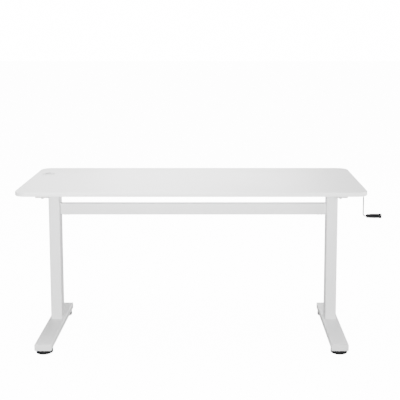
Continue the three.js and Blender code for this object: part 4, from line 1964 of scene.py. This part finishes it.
@dataclass
class Drive:
    """The cross rod with its bushings, the bent crank and the grip.

    Args:
        shop: Where finished pieces go.
        bar: Radius of the crank's bar.
        axle: Radius of the cross rod.
        line: Height of the cross rod's axis.
        arm: Where the crank's arm hangs along x.
    """

    shop: Shop
    bar: float = 3 * MM
    axle: float = 3.2 * MM
    line: float = ROD_LINE
    arm: float = 0.7915

    def build(self) -> None:
        """Builds the rod, its bushings, the crank and the grip."""
        self._rod()
        self._bushing("inner", Side.LEFT)
        self._bushing("inner", Side.RIGHT, Axis.X)
        self._bushing("outer", Side.RIGHT)
        self._crank()
        self._grip()

    def _rod(self) -> None:
        """The long rod that joins the two gearboxes, its ends chamfered."""
        low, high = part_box("cross_rod")
        y, length = (low.y + high.y) / 2, high.x - low.x
        profile = [
            (0.0, 0.0),
            (self.axle - 0.6 * MM, 0.0),
            (self.axle, 0.6 * MM),
            (self.axle, length - 0.6 * MM),
            (self.axle - 0.6 * MM, length),
            (0.0, length),
        ]
        rod = Bench.lathe("drive_rod", profile, (low.x, y, self.line), Axis.X, 32)
        self.shop.settle(rod, "crank", CRANK_STEEL, "cross_rod")

    def _bushing(self, place: str, side: Side, flip: Optional[Axis] = None) -> None:
        """A flanged bush where the rod passes through a column.

        Args:
            place: Which of the places on that side.
            side: Which leg.
            flip: The axis along which it is mirrored.
        """
        name, shown = f"rod_bushing_{place}_{side.word}", f"bush_{place}_{side.word}"
        bush = self.shop.repeat("bush", shown, name, lambda: self._flange(shown, name), flip)
        self.shop.settle(bush, "lift", NYLON, name, angle=40.0)

    def _flange(self, shown: str, name: str) -> bpy.types.Object:
        """Models a bush with its flange towards +x.

        Args:
            shown: The new piece's name.
            name: The CAD node that it stands for.

        Returns:
            The piece.
        """
        low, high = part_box(name)
        y, length = (low.y + high.y) / 2, high.x - low.x
        flange = length - 3.2 * MM
        profile = [
            (3.5 * MM, 0.0),
            (5.7 * MM, 0.0),
            (6.0 * MM, 0.3 * MM),
            (6.0 * MM, flange + 0.2 * MM),
            (7.2 * MM, flange + 0.2 * MM),
            (7.5 * MM, flange + 0.5 * MM),
            (7.5 * MM, length - 1.1 * MM),
            (7.1 * MM, length - 0.4 * MM),
            (6.3 * MM, length),
            (3.8 * MM, length),
            (3.5 * MM, length - 0.3 * MM),
        ]
        return Bench.lathe(shown, profile, (low.x, y, self.line), Axis.X, 48, True)

    def _crank(self) -> None:
        """A bar extruded and spun round its two bends, with a socket and a riveted end."""
        low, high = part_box("crank_rod")
        y = (low.y + high.y) / 2
        hub_end = low.x + 26 * MM
        arm_x, drop = self.arm, low.z + 5 * MM
        top_bend, low_bend = 8 * MM, 10 * MM
        Bench.clear()
        bpy.ops.mesh.primitive_circle_add(
            vertices=28,
            radius=self.bar,
            fill_type="NGON",
            location=(hub_end - 4 * MM, y, self.line),
            rotation=(0, math.pi / 2, 0),
        )
        bar = Bench.named("crank_bar_part")
        bpy.ops.object.mode_set(mode="EDIT")
        bpy.ops.mesh.select_mode(type="FACE")
        bpy.ops.mesh.select_all(action="SELECT")
        self._push((arm_x - top_bend - (hub_end - 4 * MM), 0, 0))
        self._bend((arm_x - top_bend, y, self.line - top_bend), -math.pi / 2)
        self._push((0, 0, -(self.line - top_bend - drop - low_bend)))
        self._bend((arm_x + low_bend, y, drop + low_bend), math.pi / 2)
        self._push((high.x - 1.5 * MM - arm_x - low_bend, 0, 0))
        Bench.clear()
        Bench.clean(bar)
        hub = self._hub(low.x, hub_end, y)
        rivet = Bench.lathe(
            "crank_rivet",
            [
                (0.0, 0.0),
                (4.6 * MM, 0.0),
                (5.0 * MM, 0.5 * MM),
                (5.0 * MM, 1.6 * MM),
                (4.2 * MM, 2.5 * MM),
                (2.6 * MM, 3.0 * MM),
                (0.0, 3.0 * MM),
            ],
            (high.x - 3 * MM, y, drop),
            Axis.X,
            32,
        )
        crank = Bench.join("crank_bar", [bar, hub, rivet])
        self.shop.settle(crank, "crank", CRANK_STEEL, "crank_rod", angle=35.0)

    def _push(self, step: Point) -> None:
        """Extrudes the selected end along a straight line."""
        bpy.ops.mesh.extrude_region_move(TRANSFORM_OT_translate={"value": step})

    def _bend(self, centre: Point, angle: float) -> None:
        """Spins the selected end round a bend in the crank's plane."""
        bpy.ops.mesh.spin(steps=12, angle=angle, center=centre, axis=(0, 1, 0))

    def _hub(self, start: float, stop: float, y: float) -> bpy.types.Object:
        """The socket that grips the rod, with the hole of its set screw and a weld collar.

        Args:
            start: Where it starts along x.
            stop: Where it stops along x.
            y: Its place along y.

        Returns:
            The piece.
        """
        length = stop - start
        profile = [
            (3.5 * MM, 0.0),
            (6.0 * MM, 0.0),
            (6.5 * MM, 0.5 * MM),
            (6.5 * MM, length - 2.2 * MM),
            (6.1 * MM, length - 1.2 * MM),
            (5.0 * MM, length - 0.4 * MM),
            (3.6 * MM, length),
            (3.0 * MM, length),
            (3.0 * MM, length - 8.7 * MM),
            (3.5 * MM, length - 8.7 * MM),
        ]
        hub = Bench.lathe("crank_hub", profile, (start, y, self.line), Axis.X, 48, True)
        x, line = start + 8 * MM, self.line
        hole = Bench.rod("set_screw_hole", (x, y, line + 5 * MM), 1.6 * MM, 6 * MM, sides=24)
        Bench.cut(hub, hole)
        grub = Bench.rod("set_screw", (x, y, line + 4.6 * MM), 1.55 * MM, 2.4 * MM, sides=24)
        key = Bench.rod("set_screw_key", (x, y, line + 5.8 * MM), 0.8 * MM, 2.4 * MM, sides=6)
        Bench.cut(grub, key)
        return Bench.join("crank_socket", [hub, grub])

    def _grip(self) -> None:
        """The turning grip: thin at the crank, waisted near its outer end."""
        low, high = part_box("crank_grip")
        y, line = (low.y + high.y) / 2, (low.z + high.z) / 2
        length = high.x - low.x
        profile = [
            (3.3 * MM, 0.2 * MM),
            (3.5 * MM, 0.0),
            (6.2 * MM, 0.0),
            (7.4 * MM, 0.5 * MM),
            (8.3 * MM, 1.7 * MM),
            (8.9 * MM, 3.4 * MM),
            (9.3 * MM, 6.0 * MM),
            (9.7 * MM, 11.0 * MM),
            (10.1 * MM, 18.0 * MM),
            (10.5 * MM, 28.0 * MM),
            (10.8 * MM, 38.0 * MM),
            (10.9 * MM, 46.0 * MM),
            (10.8 * MM, 52.0 * MM),
            (10.6 * MM, 55.4 * MM),
            (10.1 * MM, 56.2 * MM),
            (10.1 * MM, 57.2 * MM),
            (10.7 * MM, 58.0 * MM),
            (11.1 * MM, 61.5 * MM),
            (11.4 * MM, 65.0 * MM),
            (11.5 * MM, 67.5 * MM),
            (11.3 * MM, 69.5 * MM),
            (10.7 * MM, 71.0 * MM),
            (9.6 * MM, length),
            (6.0 * MM, length),
            (5.6 * MM, length - 0.4 * MM),
            (5.6 * MM, 66.0 * MM),
            (3.3 * MM, 66.0 * MM),
        ]
        grip = Bench.lathe("crank_handle", profile, (low.x, y, line), Axis.X, 72, True)
        self.shop.settle(grip, "grip", GRIP_BLACK, "crank_grip", angle=38.0)


# ---------------------------------------------------------------------------
# Studio
# ---------------------------------------------------------------------------


@dataclass(frozen=True)
class Lamp:
    """A square soft light that the camera doesn't see.

    Args:
        name: Its name.
        place: Where it hangs.
        aim: The point it looks at.
        size: Its width.
        watts: Its power.
    """

    name: str
    place: Point
    aim: Point
    size: float
    watts: float

    def light(self) -> None:
        """Adds the lamp to the scene."""
        data = bpy.data.lights.new(self.name, "AREA")
        data.shape = "SQUARE"
        data.size = self.size
        data.energy = self.watts
        lamp = bpy.data.objects.new(self.name, data)
        lamp.location = self.place
        look = Vector(self.aim) - Vector(self.place)
        lamp.rotation_euler = look.to_track_quat("-Z", "Y").to_euler()
        lamp.visible_camera = False
        bpy.context.scene.collection.objects.link(lamp)


LAMPS = (
    Lamp("overhead", (-0.5, 0.0, 2.2), (-0.3, 0.0, 0.6), 1.2, 100.0),
    Lamp("front_close", (-0.4, -2.3, 0.7), (-0.1, 0.0, 0.5), 0.9, 18.0),
    Lamp("front_left", (-1.2, -2.6, 0.8), (-0.3, 0.0, 0.5), 1.0, 48.0),
    Lamp("front_low", (0.0, -4.2, 0.6), (0.0, 0.0, 0.4), 1.6, 230.0),
    Lamp("front_middle", (0.0, -4.4, 1.3), (0.0, 0.0, 0.4), 1.6, 65.0),
    Lamp("right", (3.4, 0.0, 1.4), (0.0, 0.0, 0.4), 1.8, 170.0),
    Lamp("right_low", (3.2, -0.6, 0.5), (-0.6, 0.0, 0.5), 1.2, 28.0),
    Lamp("rear", (0.0, 4.0, 1.0), (0.0, 0.0, 0.4), 2.0, 150.0),
)


@dataclass
class Studio:
    """The floor, the soft light and the camera.

    Args:
        lens: Focal length in millimetres on a 36 mm wide sensor.
        eye: Where the camera stands.
        pitch: How far it looks down, in radians.
        shift: Its shift across and up, in picture widths.
        floor_glow: How brightly the floor shows to the camera.
        air_glow: How brightly the surroundings show to the camera.
        air_light: The light that the surroundings give.
    """

    lens: float = 71.62
    eye: Point = (0.1077, -3.5844, 1.4066)
    pitch: float = 0.1157
    shift: tuple[float, float] = (-0.04125, -0.2)
    floor_glow: float = 14.0
    air_glow: float = 16.0
    air_light: float = 0.32

    def camera(self) -> None:
        """Makes the camera at the viewing angle of a person facing the desk."""
        data = bpy.data.cameras.new("camera")
        data.lens = self.lens
        data.sensor_width = 36.0
        data.shift_x, data.shift_y = self.shift
        data.clip_end = 100.0
        camera = bpy.data.objects.new("camera", data)
        camera.location = self.eye
        camera.rotation_euler = (math.pi / 2 - self.pitch, 0.0, 0.0)
        bpy.context.scene.collection.objects.link(camera)
        bpy.context.scene.camera = camera

    def floor(self) -> None:
        """Makes a wide pale floor that glows softly, as a light table does."""
        Bench.clear()
        bpy.ops.mesh.primitive_plane_add(size=60.0, location=(0, 0, -0.0005))
        floor = Bench.named("studio_floor")
        graph = Graph("studio_floor")
        graph.set("Base Color", (0.35, 0.35, 0.35))
        graph.set("Roughness", 0.9)
        seen = graph.node("ShaderNodeLightPath", {}, {}, "Is Camera Ray")
        graph.set("Emission Color", graph.mix(seen, (0.0, 0.0, 0.0), (1.0, 1.0, 1.0)))
        graph.set("Emission Strength", self.floor_glow)
        floor.data.materials.append(graph.material)

    def world(self) -> None:
        """Makes an even pale surrounding."""
        world = bpy.data.worlds.new("studio_air")
        bpy.context.scene.world = world
        world.use_nodes = True
        tree = world.node_tree
        tree.nodes.clear()
        output = tree.nodes.new("ShaderNodeOutputWorld")
        mixed = tree.nodes.new("ShaderNodeMixShader")
        soft = tree.nodes.new("ShaderNodeBackground")
        bright = tree.nodes.new("ShaderNodeBackground")
        seen = tree.nodes.new("ShaderNodeLightPath")
        soft.inputs["Strength"].default_value = self.air_light
        soft.inputs["Color"].default_value = (1.0, 1.0, 1.0, 1.0)
        bright.inputs["Color"].default_value = (1.0, 1.0, 1.0, 1.0)
        bright.inputs["Strength"].default_value = self.air_glow
        tree.links.new(seen.outputs["Is Camera Ray"], mixed.inputs[0])
        tree.links.new(soft.outputs[0], mixed.inputs[1])
        tree.links.new(bright.outputs[0], mixed.inputs[2])
        tree.links.new(mixed.outputs[0], output.inputs["Surface"])

    def build(self) -> None:
        """Builds the whole studio."""
        self.world()
        self.floor()
        for lamp in LAMPS:
            lamp.light()
        self.camera()


def main() -> None:
    """Builds the desk and its studio."""
    logging.basicConfig(level=logging.INFO, format="%(name)s: %(message)s")
    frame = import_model()
    Bench.clear()
    Studio().build()
    shop = Shop(frame)
    Tabletop(shop).build()
    for side in Side:
        Foot(shop, side).build()
        Leg(shop, side).build()
        SupportArm(shop, side).build()
    Crossbar(shop).build()
    Drive(shop).build()
    Bench.clear()


if __name__ == "__main__":
    main()
